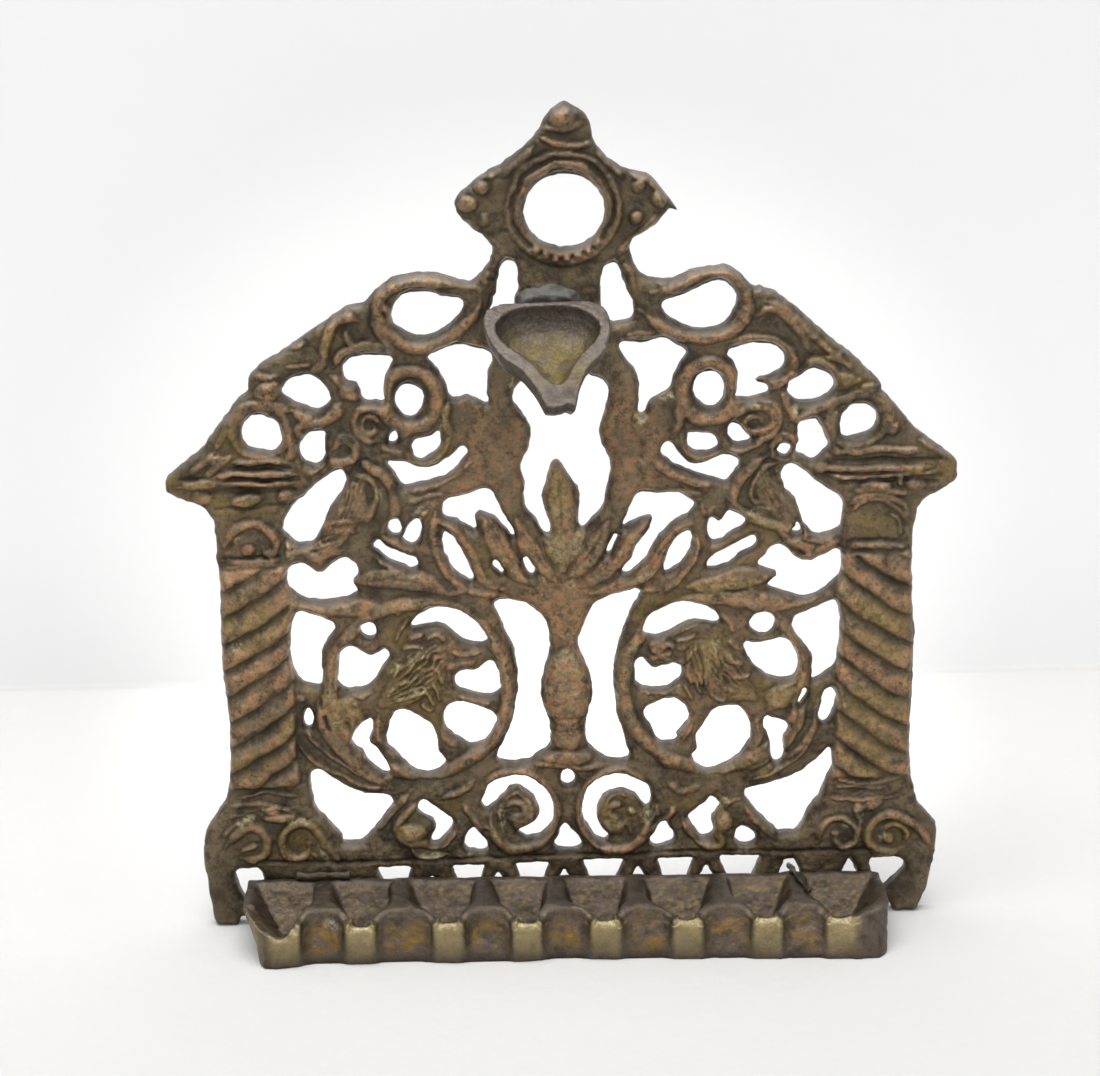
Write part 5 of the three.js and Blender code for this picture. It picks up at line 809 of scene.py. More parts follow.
def aged_bronze(name, colours, dust=0.85, even=0.0, metallic=0.75, roughness=(0.3, 0.56)):
    """Sand-cast bronze or brass, brown with age: fingers and cloths have rubbed the relief to a copper
    glow, lampblack and old polish stay dark in the hollows, and the sand's grain pits the skin. Light is
    painted
    in too: painted shade where grime asks, painted glints where pale asks, and a grey on faces
    that look up, which is fallen dirt and painted light from above."""
    material = bpy.data.materials.new(name)
    material.use_nodes = True
    tree = material.node_tree
    tree.nodes.clear()
    place = add_node(tree, "ShaderNodeTexCoord").outputs["Object"]
    upright = add_node(tree, "ShaderNodeSeparateXYZ", None, {
        "Vector": add_node(tree, "ShaderNodeNewGeometry").outputs["Normal"]})
    fields = {"facing up": upright.outputs["Z"]}
    for wear in ("rub", "grime", "olive", "pale"):
        fields[wear] = add_node(tree, "ShaderNodeAttribute", {"attribute_name": wear}).outputs["Fac"]
    for field, (size_mm, detail, fineness) in SKIN_NOISE.items():
        fields[field] = add_node(tree, "ShaderNodeTexNoise", None, {
            "Vector": place, "Scale": 1 / (size_mm * MM), "Detail": detail, "Roughness": fineness,
        }).outputs[0]

    # A field between two values becomes a share between two others
    for share, field, low, high, to_low, to_high in (
        ("patina", "mottle", 0.36, 0.56, 0.0, 1.0),
        ("olive break", "olive cloud", 0.35, 0.6, 0.2, 1.0),
        ("rub break", "rub cloud", 0.42, 0.56, even, 1.0),
        ("dark specks", "specks", 0.48, 0.38, 0.0, 0.55 * (1 - even)),
        ("grey specks", "specks", 0.55, 0.66, 0.0, 0.5),
        # Faces that look up turn grey: settled dust, and painted light from the lamps above
        ("settled dust", "facing up", 0.35, 0.95, 0.0, dust),
        ("dust break", "dust cloud", 0.3, 0.6, 0.5, 1.0),
        ("crust break", "crust cloud", 0.42, 0.62, 0.0, 0.75),
        ("rough", "sheen", 0.3, 0.7, roughness[1], roughness[0]),
    ):
        fields[share] = add_node(tree, "ShaderNodeMapRange", {"interpolation_type": "SMOOTHSTEP"}, {
            "Value": fields[field], "From Min": low, "From Max": high, "To Min": to_low, "To Max": to_high,
        }).outputs[0]
    # The crust share is the pale share broken up: pale crust, and painted glints on ridges and lips
    for share, first, second in (
        ("olive patches", "olive", "olive break"), ("broken rub", "rub", "rub break"),
        ("dusty", "settled dust", "dust break"), ("crust", "pale", "crust break"),
    ):
        fields[share] = add_node(tree, "ShaderNodeMath", {"operation": "MULTIPLY"}, {
            0: fields[first], 1: fields[second]}).outputs[0]
    golden = add_node(tree, "ShaderNodeMath", {"operation": "MULTIPLY"}, {0: fields["olive"], 1: 0.7})
    rubbed = add_node(tree, "ShaderNodeMix", {"data_type": "RGBA"}, {
        0: golden.outputs[0], 6: colours["copper"], 7: colours["gold"]})

    # The skin's colours, each laid over those before it by its share
    skin = colours["shade"]
    for share, colour in (
        ("patina", colours["patina"]),
        ("olive patches", colours["olive"]),
        ("broken rub", rubbed.outputs[2]),
        ("dark specks", colours["shade"]),
        ("grey specks", colours["grey"]),
        # Then the grey of dust and painted top light, grime with painted shade, and crust with painted
        # glints
        ("dusty", colours["grey"]),
        ("grime", colours["soot"]),
        ("crust", colours["verdigris"]),
    ):
        skin = add_node(tree, "ShaderNodeMix", {"data_type": "RGBA"}, {
            0: fields[share], 6: skin, 7: colour}).outputs[2]

    grain = add_node(tree, "ShaderNodeBump", None, {
        "Strength": 0.85, "Distance": PIT_DEPTH, "Height": fields["pits"]})
    bump = add_node(tree, "ShaderNodeBump", None, {
        "Strength": 0.6, "Distance": WAVE_DEPTH, "Height": fields["waves"], "Normal": grain.outputs[0]})
    shader = add_node(tree, "ShaderNodeBsdfPrincipled", None, {
        "Base Color": skin, "Metallic": metallic, "Roughness": fields["rough"], "Normal": bump.outputs[0]})
    add_node(tree, "ShaderNodeOutputMaterial", None, {"Surface": shader.outputs[0]})
    return material


def metal_colours(**hexes):
    """A metal's colours in linear light, from hex."""
    return {name: linear(colour) for name, colour in hexes.items()}


# Cast bronze, brown with age: copper and gold where its relief is rubbed, soot in the hollows, its pale
# tone painted as highlights
PLATE_COLOURS = metal_colours(
    shade="#473e32", patina="#786951", olive="#79663f", copper="#a37c5b", gold="#9a855b",
    grey="#7a736a", soot="#3b342a", verdigris="#b0a782")
# Cast brass, dark in the wells, pale gold on the rubbed spouts and ochre in the niches, its pale tone
# painted as glints on the lips
TRAY_COLOURS = metal_colours(
    shade="#463d35", patina="#61554a", olive="#7a6132", copper="#a8976a", gold="#a8976a",
    grey="#66605a", soot="#352e28", verdigris="#cdc8a6")
# Cast brass, grey-brown outside and olive in the bowl, where the oil stood
FONT_COLOURS = metal_colours(
    shade="#50473f", patina="#665d56", olive="#776a3c", copper="#767069", gold="#7f7758",
    grey="#7f7a75", soot="#3b332a", verdigris="#a9a58a")
# Lead-tin solder, dull and grey beside the brass
SOLDER_COLOURS = metal_colours(
    shade="#42403b", patina="#55534e", olive="#504e48", copper="#66645f", gold="#66645f",
    grey="#6e6c68", soot="#35332f", verdigris="#8f8e80")
# Drawn brass wire, dark with tarnish and paler near the plate
WIRE_COLOURS = metal_colours(
    shade="#37342b", patina="#4a4638", olive="#504a38", copper="#6b6450", gold="#6b6450",
    grey="#55524a", soot="#2d2a24", verdigris="#b8bda0")


# Sizes and colours that a user may change
class LampSizes(bpy.types.PropertyGroup):
    """The plate's mesh and the marks of its casting"""
    plate_voxel: bpy.props.FloatProperty(
        name="Plate mesh", description="Spacing of the plate's fine mesh", default=0.34 * MM, unit="LENGTH")
    edge_round: bpy.props.FloatProperty(
        name="Edge rounding", description="How far in the plate's worn front edges start to fall",
        default=1.5 * MM, unit="LENGTH")
    web_swell: bpy.props.FloatProperty(
        name="Web swell", description="How much the bars between the windows swell in their middles",
        default=0.35 * MM, unit="LENGTH")
    hand_wobble: bpy.props.FloatProperty(
        name="Hand wobble", description="How far the hand-cut pattern's lines stray", default=0.4 * MM,
        unit="LENGTH")
    ragged_edge: bpy.props.FloatProperty(
        name="Ragged edge", description="How rough the unfiled edges of the openwork are",
        default=0.16 * MM, unit="LENGTH")
    casting_swell: bpy.props.FloatProperty(
        name="Casting swell", description="Height of the casting's uneven surface", default=0.16 * MM,
        unit="LENGTH")


class LampColours(bpy.types.PropertyGroup):
    """The paper's colours and the plate's main ones"""
    floor: bpy.props.FloatVectorProperty(
        name="Floor", description="Paper that the lamp stands on", subtype="COLOR", size=4, min=0, max=1,
        default=linear("#cbcac8"))
    backdrop: bpy.props.FloatVectorProperty(
        name="Backdrop", description="Paper behind the lamp", subtype="COLOR", size=4, min=0, max=1,
        default=linear("#e9e9ea"))
    patina: bpy.props.FloatVectorProperty(
        name="Patina", description="Brown skin of the cast plate", subtype="COLOR", size=4, min=0, max=1,
        default=PLATE_COLOURS["patina"])
    copper: bpy.props.FloatVectorProperty(
        name="Rubbed copper", description="The plate's metal where hands have rubbed its relief",
        subtype="COLOR", size=4, min=0, max=1, default=PLATE_COLOURS["copper"])


# The plate
# Noise layers: share, size in millimetres and seed of each
SWELLS = [(1.0, 6.0, 1), (0.9, 2.2, 2), (0.9, 1.1, 3)]
STRAY_ACROSS = [(1.0, 4.5, 11), (0.4, 1.6, 12)]
STRAY_UP = [(1.0, 4.5, 13), (0.4, 1.6, 14)]
UNEVEN_RELIEF = [(0.35, 5, 15)]
UNEVEN_CREASES = [(0.6, 4, 16)]
WORN = [(1.0, 12, 21), (0.7, 4, 22), (0.5, 1.3, 23)]
SOOT_CLOUDS = [(1.0, 8, 24), (0.6, 2.5, 25)]
# This noise breaks up the painted highlights on the high relief
GLEAMS = [(0.8, 2.4, 26)]
RAGGED_SIZE = 1.2
# The relief grows to its full height over this much of the plate's edge, and the bars swell over this
# much, in millimetres
INLAND = 0.9
SWELL_REACH = 2.5
# The plate is coloured lighter and more coppery towards its middle: across it in millimetres, and up it in
# thousandths
HANDLED_REACH = 50
HANDLED_MIDDLE, HANDLED_HALF = 390, 230
# The plate is coloured darker and less coppery above and below these heights, in thousandths
SMOKE_ABOVE, SMOKE_BELOW = 680, 130


def plate_slab():
    """The plate's openwork without its relief, as an even fine mesh."""
    piece = copy_of("backplate", "backplate_cast")
    points = coordinates(piece.data)
    front = (BACK_Y - PLATE_THICKNESS) * MM
    points[:, 1] = np.maximum(points[:, 1], front)
    set_coordinates(piece.data, points)
    remeshed(piece, bpy.context.scene.lamp_sizes.plate_voxel / MM)
    return piece


def edge_distances(mesh, x, z, depth):
    """How far each vertex lies from the nearest wall of the outline or a window, in millimetres."""
    wall = (np.abs(normals(mesh)[:, 1]) < 0.5) & (depth > PLATE_THICKNESS * 0.6)
    tree = KDTree(int(wall.sum()))
    for i, index in enumerate(np.flatnonzero(wall)):
        tree.insert((x[index], z[index], 0), i)
    tree.balance()
    return np.array([tree.find((a, b, 0))[2] for a, b in zip(x, z)])


def ring_beads(relief):
    """The little beads under the hanging ring's hole."""
    x, z, across, up = BEAD_OVAL
    for angle in np.radians(BEAD_ANGLES):
        relief.boss(x + across * math.cos(angle), z + up * math.sin(angle), *BEAD_SIZE)


def plate_relief():
    """Every stroke of the plate's front in one map of heights."""
    relief = ReliefMap()
    for strands in STRANDS:
        relief.twist(*strands)
    for shape, tables in ((relief.cord, CORDS), (relief.leaf, LEAVES), (relief.ring, RINGS)):
        for strokes in tables.values():
            for stroke in strokes:
                shape(*stroke)
    for stroke in BOSSES:
        relief.boss(*stroke)
    ring_beads(relief)
    for strokes in GROOVES.values():
        for stroke in strokes:
            relief.groove(*stroke)
    for stroke in COMBED:
        relief.combed(*stroke)
    # Molten metal fills the mould's fine marks only in part, so the forms are a little soft
    relief.height = 0.8 * relief.height + 0.3 * blurred(relief.height, 2)
    return relief


def wear_plate(mesh, relief, place, near, front, height, crease, rounding):
    """Where hands have rubbed the plate and where lampblack and old polish lie, with painted light over
    them:
    pale painted highlights on the high relief in the middle, and painted shade in the dark patches on the
    beasts. Its flat back, where front is 0, shows none of the relief's rubbing or dirt."""
    x, z = place
    patches = {kind: front * relief.at(relief.patches(ovals), *where) for kind, ovals, where in (
        ("pale", PALE, place), ("sooty", SOOTY, near), ("olive", OLIVE, place), ("coppery", COPPERY, near))}
    hollow = front * relief.at(blurred(relief.height, 6) - relief.height, *near)
    above = np.clip((z / UP - SMOKE_ABOVE) / 200, 0, 1)
    below = np.clip((SMOKE_BELOW - z / UP) / 60, 0, 1)
    smoky = above + below
    handled = front * np.exp(-(x / HANDLED_REACH) ** 2 - ((z / UP - HANDLED_MIDDLE) / HANDLED_HALF) ** 2)
    rub = 0.75 * handled - 0.14 + 0.5 * height + 0.45 * layered(x, z, WORN) - 0.3 * rounding - 1.2 * hollow
    sooty = np.clip(layered(x, z, SOOT_CLOUDS) - 0.4 * handled - 0.15, 0, 1) + 0.6 * patches["sooty"]
    grime = 0.55 * crease + 1.1 * hollow + 0.15 * smoky + 0.5 * sooty
    # Painted highlight: pale gleams on the high relief, strongest in the plate's middle
    gleam = handled * np.clip(height - 0.35, 0, 1) * (0.8 + layered(x, z, GLEAMS))
    set_wear(mesh, rub=rub * (1 - 0.45 * smoky) + 0.45 * patches["coppery"],
             grime=grime * (1 - 0.35 * handled), pale=patches["pale"] + 0.9 * gleam, olive=patches["olive"])


class LAMP_OT_backplate(bpy.types.Operator):
    """Builds the pierced plate with its cast relief"""
    bl_idname = "lamp.backplate"
    bl_label = "Back plate"

    def execute(self, context):
        sizes = context.scene.lamp_sizes
        piece = plate_slab()
        mesh = piece.data
        points = coordinates(mesh)
        x, z = points[:, 0] / MM, points[:, 2] / MM
        depth = BACK_Y - points[:, 1] / MM
        edge = edge_distances(mesh, x, z, depth)

        relief = plate_relief()
        wobble = sizes.hand_wobble / MM
        near = x + wobble * layered(x, z, STRAY_ACROSS), z + wobble * layered(x, z, STRAY_UP)
        height = relief.at(relief.height, *near) * (1 + layered(x, z, UNEVEN_RELIEF))
        crease = relief.at(relief.crease, *near) * (0.6 + layered(x, z, UNEVEN_CREASES))
        inland = np.clip(edge / INLAND, 0, 1)
        fall = sizes.edge_round / MM
        rounding = fall * (1 - np.sqrt(np.clip(1 - np.clip(1 - edge / fall, 0, 1) ** 2, 0, 1)))
        body = sizes.web_swell / MM * np.clip(edge / SWELL_REACH, 0, 1) ** 0.7
        uneven = sizes.casting_swell / MM * layered(x, z, SWELLS)
        thickness = PLATE_THICKNESS + body + (1.05 * height - 0.4 * crease) * inland - rounding + uneven
        points[:, 1] = (BACK_Y - np.clip(depth, 0, PLATE_THICKNESS) / PLATE_THICKNESS * thickness) * MM
        ragged = sizes.ragged_edge * np.clip(1 - edge / 1.5, 0, 1)
        points[:, 0] += ragged * value_noise(x + 0.3 * depth, z, RAGGED_SIZE, 17)
        points[:, 2] += ragged * value_noise(x, z + 0.3 * depth, RAGGED_SIZE, 18) * np.clip(z / 3, 0, 1)
        set_coordinates(mesh, points)

        front = np.clip(2 * depth / PLATE_THICKNESS, 0, 1)
        wear_plate(mesh, relief, (x, z), near, front, front * height, front * crease * inland, rounding)
        chosen = context.scene.lamp_colours
        colours = PLATE_COLOURS | {"patina": tuple(chosen.patina), "copper": tuple(chosen.copper)}
        dress(piece, "backplate", aged_bronze("Cast bronze, brown patina", colours))
        return {"FINISHED"}


# The tray, in millimetres. Its spouts lie at these places across it, each with its bright wear and a
# painted highlight.
TRAY_VOXEL = 0.4
TRAY_SWELL = 0.2
SPOUT_MIDDLES = [-61.7, -45.4, -26.4, -9.2, 7.8, 25.7, 43.0, 59.0]
SPOUT_HALF = 3.4
SPOUT_DEPTH = 8
LIP_HEIGHT = 8.6
RIM_HEIGHT = 9.6
# The hollow niches between the spouts arch down at their shoulders, and their middles are ochre
NICHE_DROP = 1.5
NICHE_MIDDLE = 5.5
NICHES_END = 62
# A speck of crust in the first niche, and where the painted highlight on the tray's left end starts
CRUST_X, CRUST_Z = -51.6, 8.4
WEDGE_START = -66
TRAY_SAG = [(0.25, 5, 33), (0.12, 1.5, 34)]
TRAY_MOTTLE = [(1.0, 3, 31), (0.7, 1.2, 32)]
TRAY_GRAINS = [(0.6, 1.2, 35), (1.0, 0.8, 36)]


class LAMP_OT_oil_tray(bpy.types.Operator):
    """Builds the tray of eight fonts with softened cast edges"""
    bl_idname = "lamp.oil_tray"
    bl_label = "Oil tray"

    def execute(self, context):
        piece = copy_of("oil_tray", "oil_tray_cast")
        remeshed(piece, TRAY_VOXEL)
        smoothed(piece, rounds=26)
        mesh = piece.data
        facing = normals(mesh)
        points = coordinates(mesh) + TRAY_SWELL * MM * facing
        x, y, z = (points / MM).T
        aside = np.min([np.abs(x - middle) for middle in SPOUT_MIDDLES], axis=0) - SPOUT_HALF
        forward = np.clip((TRAY_FRONT + SPOUT_DEPTH - y) / 3, 0, 1)
        shoulder = np.exp(-(np.clip(aside + 0.4, -9, 9) / np.where(aside < -0.4, 1.0, 2.4)) ** 2)
        shoulder *= np.clip((z - 7.6) / 1.6, 0, 1) * forward
        points[:, 2] -= NICHE_DROP * MM * shoulder
        sag = layered(x, z + y, TRAY_SAG) * MM * np.clip(z / 2, 0, 1)
        set_coordinates(mesh, points + sag[:, None] * facing)

        front = np.clip(-facing[:, 1] * 2, 0, 1) * forward
        spout = front * np.clip(0.6 - aside / 2.2, 0, 1)
        rim = np.clip((z - RIM_HEIGHT) / 1.2, 0, 1) * np.clip(2 * facing[:, 2], 0, 1)
        heart = np.clip(aside / 2.5, 0, 1) * np.clip(1.2 - np.abs(z - NICHE_MIDDLE) / 4.5, 0, 1)
        mottled, grains = layered(x, z + y, TRAY_MOTTLE), layered(x, z + y, TRAY_GRAINS)
        foot = np.clip(1 - z / 2.5, 0, 1)
        niche = (front - spout) * (np.abs(x - 1) < NICHES_END)
        well = (1 - front) * (1 - rim)
        # Painted glints along the spouts' lips, and a painted highlight on the tray's left end
        lip = spout * np.exp(-((z - LIP_HEIGHT) / 0.7) ** 2)
        wedge = np.clip((WEDGE_START - x) / 2, 0, 1) * front
        crust = np.exp(-((x - CRUST_X) / 1.7) ** 2 - ((z - CRUST_Z) / 1.1) ** 2)
        # The spouts are painted paler towards their lips, rubbed metal with a painted highlight; darker
        # along the foot
        set_wear(mesh, rub=spout * (0.05 + 0.95 * z / 9) + 0.05 * rim + 0.5 * wedge + well * 0.3 * grains,
                 grime=niche * (0.45 - 0.5 * heart) + 0.5 * foot * front + 0.2 * well,
                 olive=niche * heart * (0.7 + mottled + 0.5 * grains) + well * (0.2 + 0.5 * grains),
                 pale=niche * crust + 0.95 * lip)
        metal = aged_bronze("Cast brass, rubbed spouts", TRAY_COLOURS, dust=0.3, even=0.75)
        dress(piece, "oil_tray", metal)
        return {"FINISHED"}


# The servant font, in millimetres. Its rim starts FONT_RIM_DROP under its top, and falls towards the tip
# by FONT_TIP_RISE less than the font's height.
FONT_VOXEL = 0.35
FONT_RIM_DROP = 1.2
FONT_TIP_RISE = 6.6


class LAMP_OT_servant_font(bpy.types.Operator):
    """Builds the heart-shaped servant font"""
    bl_idname = "lamp.servant_font"
    bl_label = "Servant font"

    def execute(self, context):
        piece = copy_of("shamash_font", "shamash_font_cast")
        remeshed(piece, FONT_VOXEL)
        smoothed(piece, rounds=4)
        mesh = piece.data
        facing = normals(mesh)
        _x, y, z = (coordinates(mesh) / MM).T
        low, high = FONT_LOW / MM, FONT_HIGH / MM
        # forward is 0 at the wall and 1 at the font's tip, and the rim slopes down towards the tip
        forward = np.clip((high[1] - y) / (high[1] - low[1]), 0, 1)
        rim_z = high[2] - FONT_RIM_DROP - (high[2] - low[2] - FONT_TIP_RISE) * forward
        inside = np.clip((rim_z - z) / 1.5, 0, 1) * np.clip(2 * facing[:, 2], 0, 1)
        bowl = np.clip(forward / 0.3, 0, 1) * np.clip((0.86 - forward) / 0.14, 0, 1)
        # Painted shade: the bowl is darker inside towards the wall
        set_wear(mesh, rub=0.6 * (1 - inside), grime=0.15 * inside * np.clip(1 - forward / 0.5, 0, 1),
                 olive=inside * bowl, pale=0.0)
        metal = aged_bronze("Cast brass, olive bowl", FONT_COLOURS, dust=0.0)
        dress(piece, "shamash_font", metal)
        return {"FINISHED"}


# Solder and wire, in millimetres
FIXING_VOXEL = 0.2
LUMPS = [(0.35, 1.6, 61)]


class LAMP_OT_fixings(bpy.types.Operator):
    """Builds the solder collar, the wire strap and the bead on the rim"""
    bl_idname = "lamp.fixings"
    bl_label = "Solder and wire"

    def execute(self, context):
        grey = aged_bronze("Lead-tin solder, dull", SOLDER_COLOURS, metallic=0.5)
        wire = aged_bronze("Drawn brass wire, tarnished", WIRE_COLOURS)
        crust = aged_bronze("Solder crust, browned", TRAY_COLOURS, dust=0.6)
        for node, slot, material, grime, verdigris in (
            ("shamash_solder", "solder", grey, 0.1, 0),
            ("tray_strap", "wire_metal", wire, 0.1, 1),
            ("rim_bead", "solder", crust, 0.5, 0),
        ):
            piece = copy_of(node, node + "_worn")
            remeshed(piece, FIXING_VOXEL)
            smoothed(piece, rounds=3)
            mesh = piece.data
            points = coordinates(mesh)
            x, y, z = (points / MM).T
            lumps = layered(x, z + y, LUMPS) * MM
            set_coordinates(mesh, points + lumps[:, None] * normals(mesh))
            set_wear(mesh, rub=0.3, grime=grime, olive=0.2, pale=verdigris * np.clip((y - 8) / 4, 0, 1))
            dress(piece, node, material)
        return {"FINISHED"}


# The photograph's camera, solved from its perspective: degrees, metres and millimetres of lens
CAMERA_ELEVATION = 18.0
CAMERA_YAW = 1.5
CAMERA_ROLL = -0.6
CAMERA_DISTANCE = 0.65
CAMERA_LENS = 98.24
CAMERA_TARGET = Vector((-2.732 * MM, BACK_Y * MM, 88.796 * MM))
# The paper, in metres: where its floor ends, the radius at which it turns up, and how far it reaches
FLOOR_END = 0.147 + BACK_Y * MM
PAPER_BEND = 0.002
PAPER_HALF, PAPER_FRONT, PAPER_TOP = 1.6, -2.0, 1.6
# A pool of painted light makes the paper whiter around the lamp: an oval, its middle and its reach in
# metres
POOL_MIDDLE = (-0.003, FLOOR_END, 0.05)
POOL_REACH = (0.148, 0.3, 0.125)
# The grey of the paper's painted shade
PAPER_GREY = "#acacac"
CRUMPLE_SIZE = 14 * MM
CRUMPLE_DEPTH = 1.2 * MM
# Softboxes 0.8 m wide: name, place in metres and power in watts
SOFTBOX_SIZE = 0.8
SOFTBOX_AIM = Vector((0, 0, 0.08))
SOFTBOXES = [("Overhead softbox", Vector((-0.1, -0.15, 1.0)), 13.0),
             ("Front softbox", Vector((0.3, -1.0, 0.5)), 3.0)]


def plain_paper(name, floor, backdrop):
    """Matt studio paper that lies on the table and rises behind it, with a faint crumpled tooth.
    From behind or below, the eye passes through it to the lamp."""
    material = bpy.data.materials.new(name)
    material.use_nodes = True
    tree = material.node_tree
    tree.nodes.clear()
    place = add_node(tree, "ShaderNodeTexCoord").outputs["Object"]
    where = add_node(tree, "ShaderNodeSeparateXYZ", None, {"Vector": place}).outputs
    around = add_node(tree, "ShaderNodeMapping", {"vector_type": "TEXTURE"}, {
        "Vector": place, "Location": POOL_MIDDLE, "Scale": POOL_REACH})
    pool = add_node(tree, "ShaderNodeTexGradient", {"gradient_type": "SPHERICAL"}, {
        "Vector": around.outputs[0]})
    # A place between two bounds in metres becomes a share between two others
    shares = {}
    for share, field, low, high, to_low, to_high in (
        ("standing", where["Z"], 0.0005, 0.002, 0.0, 1.0),
        # Painted shade: the paper greys higher up, just above its foot and towards the front
        ("shaded above", where["Z"], 0.04, 0.22, 0.0, 0.2),
        ("shaded at the foot", where["Z"], 0.06, 0.001, 0.0, 0.1),
        ("shaded in front", where["Y"], 0.1, -0.15, 0.0, 0.4),
        # Painted light: whiter behind the lamp, in an oval pool round it
        ("behind the lamp", where["Y"], 0.0, 0.03, 0.25, 1.0),
        ("in the pool", pool.outputs["Fac"], 0.05, 0.6, 0.0, 1.0),
        ("crumpled", where["Z"], 0.0005, 0.003, 0.5, 0.02),
    ):
        shares[share] = add_node(tree, "ShaderNodeMapRange", {"interpolation_type": "SMOOTHSTEP"}, {
            "Value": field, "From Min": low, "From Max": high, "To Min": to_low, "To Max": to_high,
        }).outputs[0]
    shares["clean"] = add_node(tree, "ShaderNodeMath", {"operation": "MULTIPLY"}, {
        0: shares["behind the lamp"], 1: shares["in the pool"]}).outputs[0]
    tint = tuple(floor)
    for share, colour in (
        ("standing", tuple(backdrop)), ("shaded above", linear(PAPER_GREY)),
        ("shaded at the foot", linear(PAPER_GREY)), ("shaded in front", linear(PAPER_GREY)),
        ("clean", linear("#ffffff")),
    ):
        tint = add_node(tree, "ShaderNodeMix", {"data_type": "RGBA"}, {
            0: shares[share], 6: tint, 7: colour}).outputs[2]
    crumple = add_node(tree, "ShaderNodeTexNoise", None, {
        "Vector": place, "Scale": 1 / CRUMPLE_SIZE, "Detail": 7.0, "Roughness": 0.6})
    bump = add_node(tree, "ShaderNodeBump", None, {
        "Strength": shares["crumpled"], "Distance": CRUMPLE_DEPTH, "Height": crumple.outputs[0]})
    shader = add_node(tree, "ShaderNodeBsdfPrincipled", None, {
        "Base Color": tint, "Roughness": 0.9, "Normal": bump.outputs[0]})
    behind = add_node(tree, "ShaderNodeMath", {"operation": "MULTIPLY"}, {
        0: add_node(tree, "ShaderNodeNewGeometry").outputs["Backfacing"],
        1: add_node(tree, "ShaderNodeLightPath").outputs["Is Camera Ray"]})
    clear = add_node(tree, "ShaderNodeBsdfTransparent")
    both = add_node(tree, "ShaderNodeMixShader", None, {
        0: behind.outputs[0], 1: shader.outputs[0], 2: clear.outputs[0]})
    add_node(tree, "ShaderNodeOutputMaterial", None, {"Surface": both.outputs[0]})
    return material


def lay_paper(scene):
    """One sheet: the floor, a tight bend and the backdrop."""
    bend_end = FLOOR_END - PAPER_BEND
    outline = [(PAPER_FRONT, 0.0), (bend_end, 0.0)]
    outline += [(bend_end + PAPER_BEND * math.sin(a), PAPER_BEND - PAPER_BEND * math.cos(a))
                for a in np.linspace(0.15, math.pi / 2, 8)]
    outline.append((FLOOR_END, PAPER_TOP))
    points = [(side * PAPER_HALF, y, z) for y, z in outline for side in (-1, 1)]
    faces = [(2 * i, 2 * i + 1, 2 * i + 3, 2 * i + 2) for i in range(len(outline) - 1)]
    mesh = bpy.data.meshes.new("studio_sweep")
    mesh.from_pydata(points, [], faces)
    sweep = bpy.data.objects.new("studio_sweep", mesh)
    scene.collection.objects.link(sweep)
    shade_smooth(sweep)
    colours = scene.lamp_colours
    mesh.materials.append(plain_paper("Studio paper", colours.floor, colours.backdrop))


def hang_lamps(scene):
    """Two softboxes and a dim pale room around them."""
    scene.world = bpy.data.worlds.new("Soft studio")
    scene.world.use_nodes = True
    tree = scene.world.node_tree
    tree.nodes.clear()
    room = add_node(tree, "ShaderNodeBackground", None, {"Color": linear("#f2f2f2"), "Strength": 0.55})
    add_node(tree, "ShaderNodeOutputWorld", None, {"Surface": room.outputs[0]})
    for name, place, power in SOFTBOXES:
        lamp = bpy.data.lights.new(name, "AREA")
        lamp.size = SOFTBOX_SIZE
        lamp.energy = power
        holder = bpy.data.objects.new(name, lamp)
        holder.location = place
        holder.rotation_euler = (SOFTBOX_AIM - place).to_track_quat("-Z", "Y").to_euler()
        scene.collection.objects.link(holder)


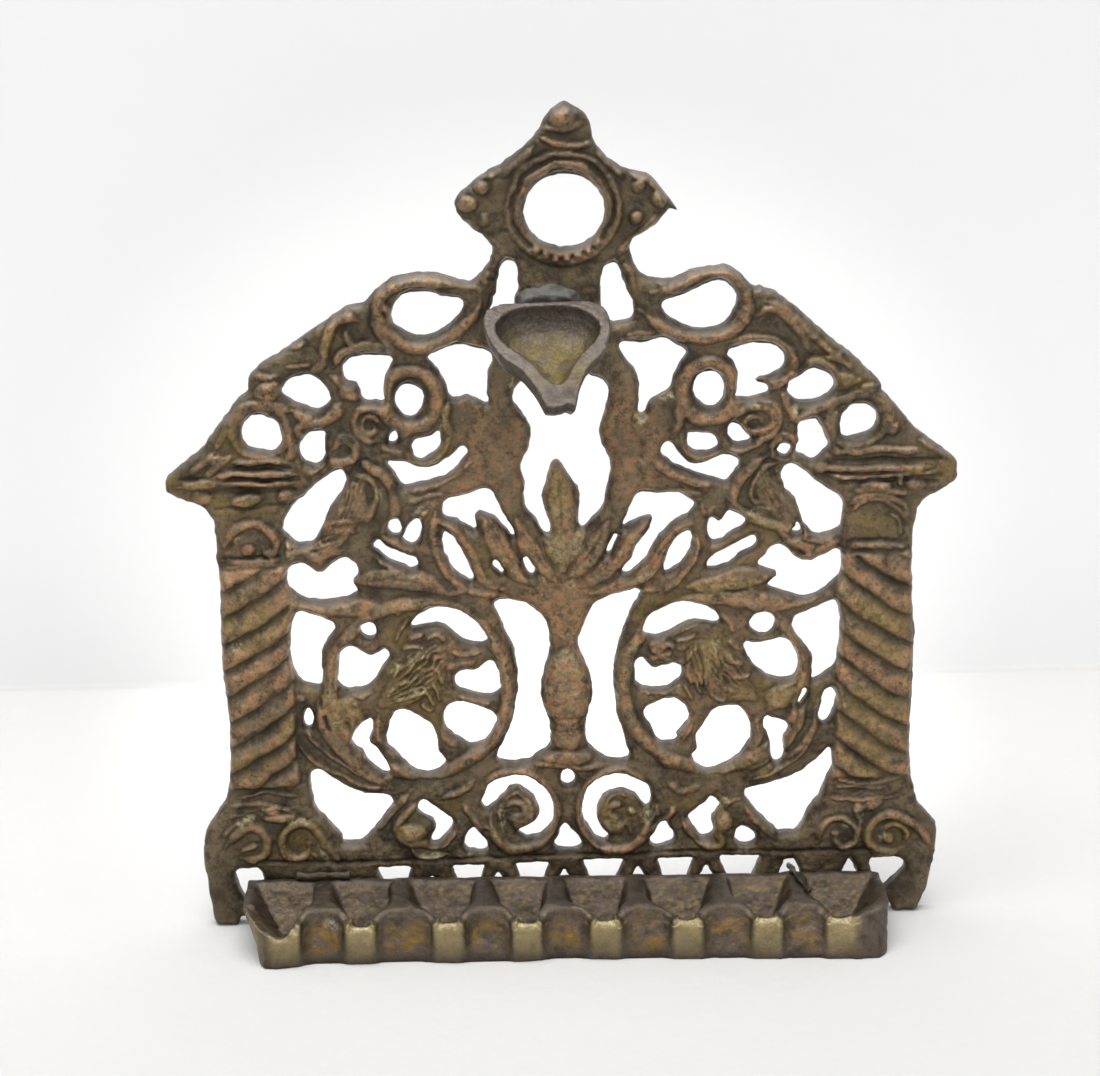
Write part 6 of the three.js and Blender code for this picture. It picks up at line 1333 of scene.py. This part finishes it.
def place_camera(scene):
    """The camera at the photograph's angle."""
    camera = bpy.data.cameras.new("Photo view")
    camera.sensor_width = 36
    camera.lens = CAMERA_LENS
    holder = bpy.data.objects.new("Photo view", camera)
    tilt, yaw = math.radians(CAMERA_ELEVATION), math.radians(CAMERA_YAW)
    back = Vector((-math.sin(yaw) * math.cos(tilt), -math.cos(yaw) * math.cos(tilt), math.sin(tilt)))
    turn = back.to_track_quat("Z", "Y").to_matrix() @ Matrix.Rotation(math.radians(CAMERA_ROLL), 3, "Z")
    holder.matrix_world = Matrix.Translation(CAMERA_TARGET + CAMERA_DISTANCE * back) @ turn.to_4x4()
    scene.collection.objects.link(holder)
    scene.camera = holder


class LAMP_OT_stage(bpy.types.Operator):
    """Sets out the paper, the soft lamps and the camera"""
    bl_idname = "lamp.stage"
    bl_label = "Stage"

    def execute(self, context):
        lay_paper(context.scene)
        hang_lamps(context.scene)
        place_camera(context.scene)
        context.scene.view_settings.view_transform = "Standard"
        return {"FINISHED"}


class LAMP_PT_panel(bpy.types.Panel):
    """Lists the lamp's pieces in the sidebar"""
    bl_idname = "LAMP_PT_panel"
    bl_label = "Hanukkah lamp"
    bl_space_type = "VIEW_3D"
    bl_region_type = "UI"
    bl_category = "Lamp"

    def draw(self, context):
        layout = self.layout
        for group in (context.scene.lamp_sizes, context.scene.lamp_colours):
            for name in group.bl_rna.properties.keys():
                if name not in ("rna_type", "name"):
                    layout.prop(group, name)
        for operator in OPERATORS:
            layout.operator(operator.bl_idname)


OPERATORS = (LAMP_OT_stage, LAMP_OT_backplate, LAMP_OT_oil_tray, LAMP_OT_servant_font, LAMP_OT_fixings)
CLASSES = (LampSizes, LampColours, *OPERATORS, LAMP_PT_panel)


def register():
    for kind in CLASSES:
        bpy.utils.register_class(kind)
    bpy.types.Scene.lamp_sizes = bpy.props.PointerProperty(type=LampSizes)
    bpy.types.Scene.lamp_colours = bpy.props.PointerProperty(type=LampColours)


def unregister():
    del bpy.types.Scene.lamp_colours
    del bpy.types.Scene.lamp_sizes
    for kind in reversed(CLASSES):
        bpy.utils.unregister_class(kind)


def main():
    register()
    bpy.ops.lamp.stage()
    bpy.ops.lamp.backplate()
    bpy.ops.lamp.oil_tray()
    bpy.ops.lamp.servant_font()
    bpy.ops.lamp.fixings()


if __name__ == "__main__":
    main()
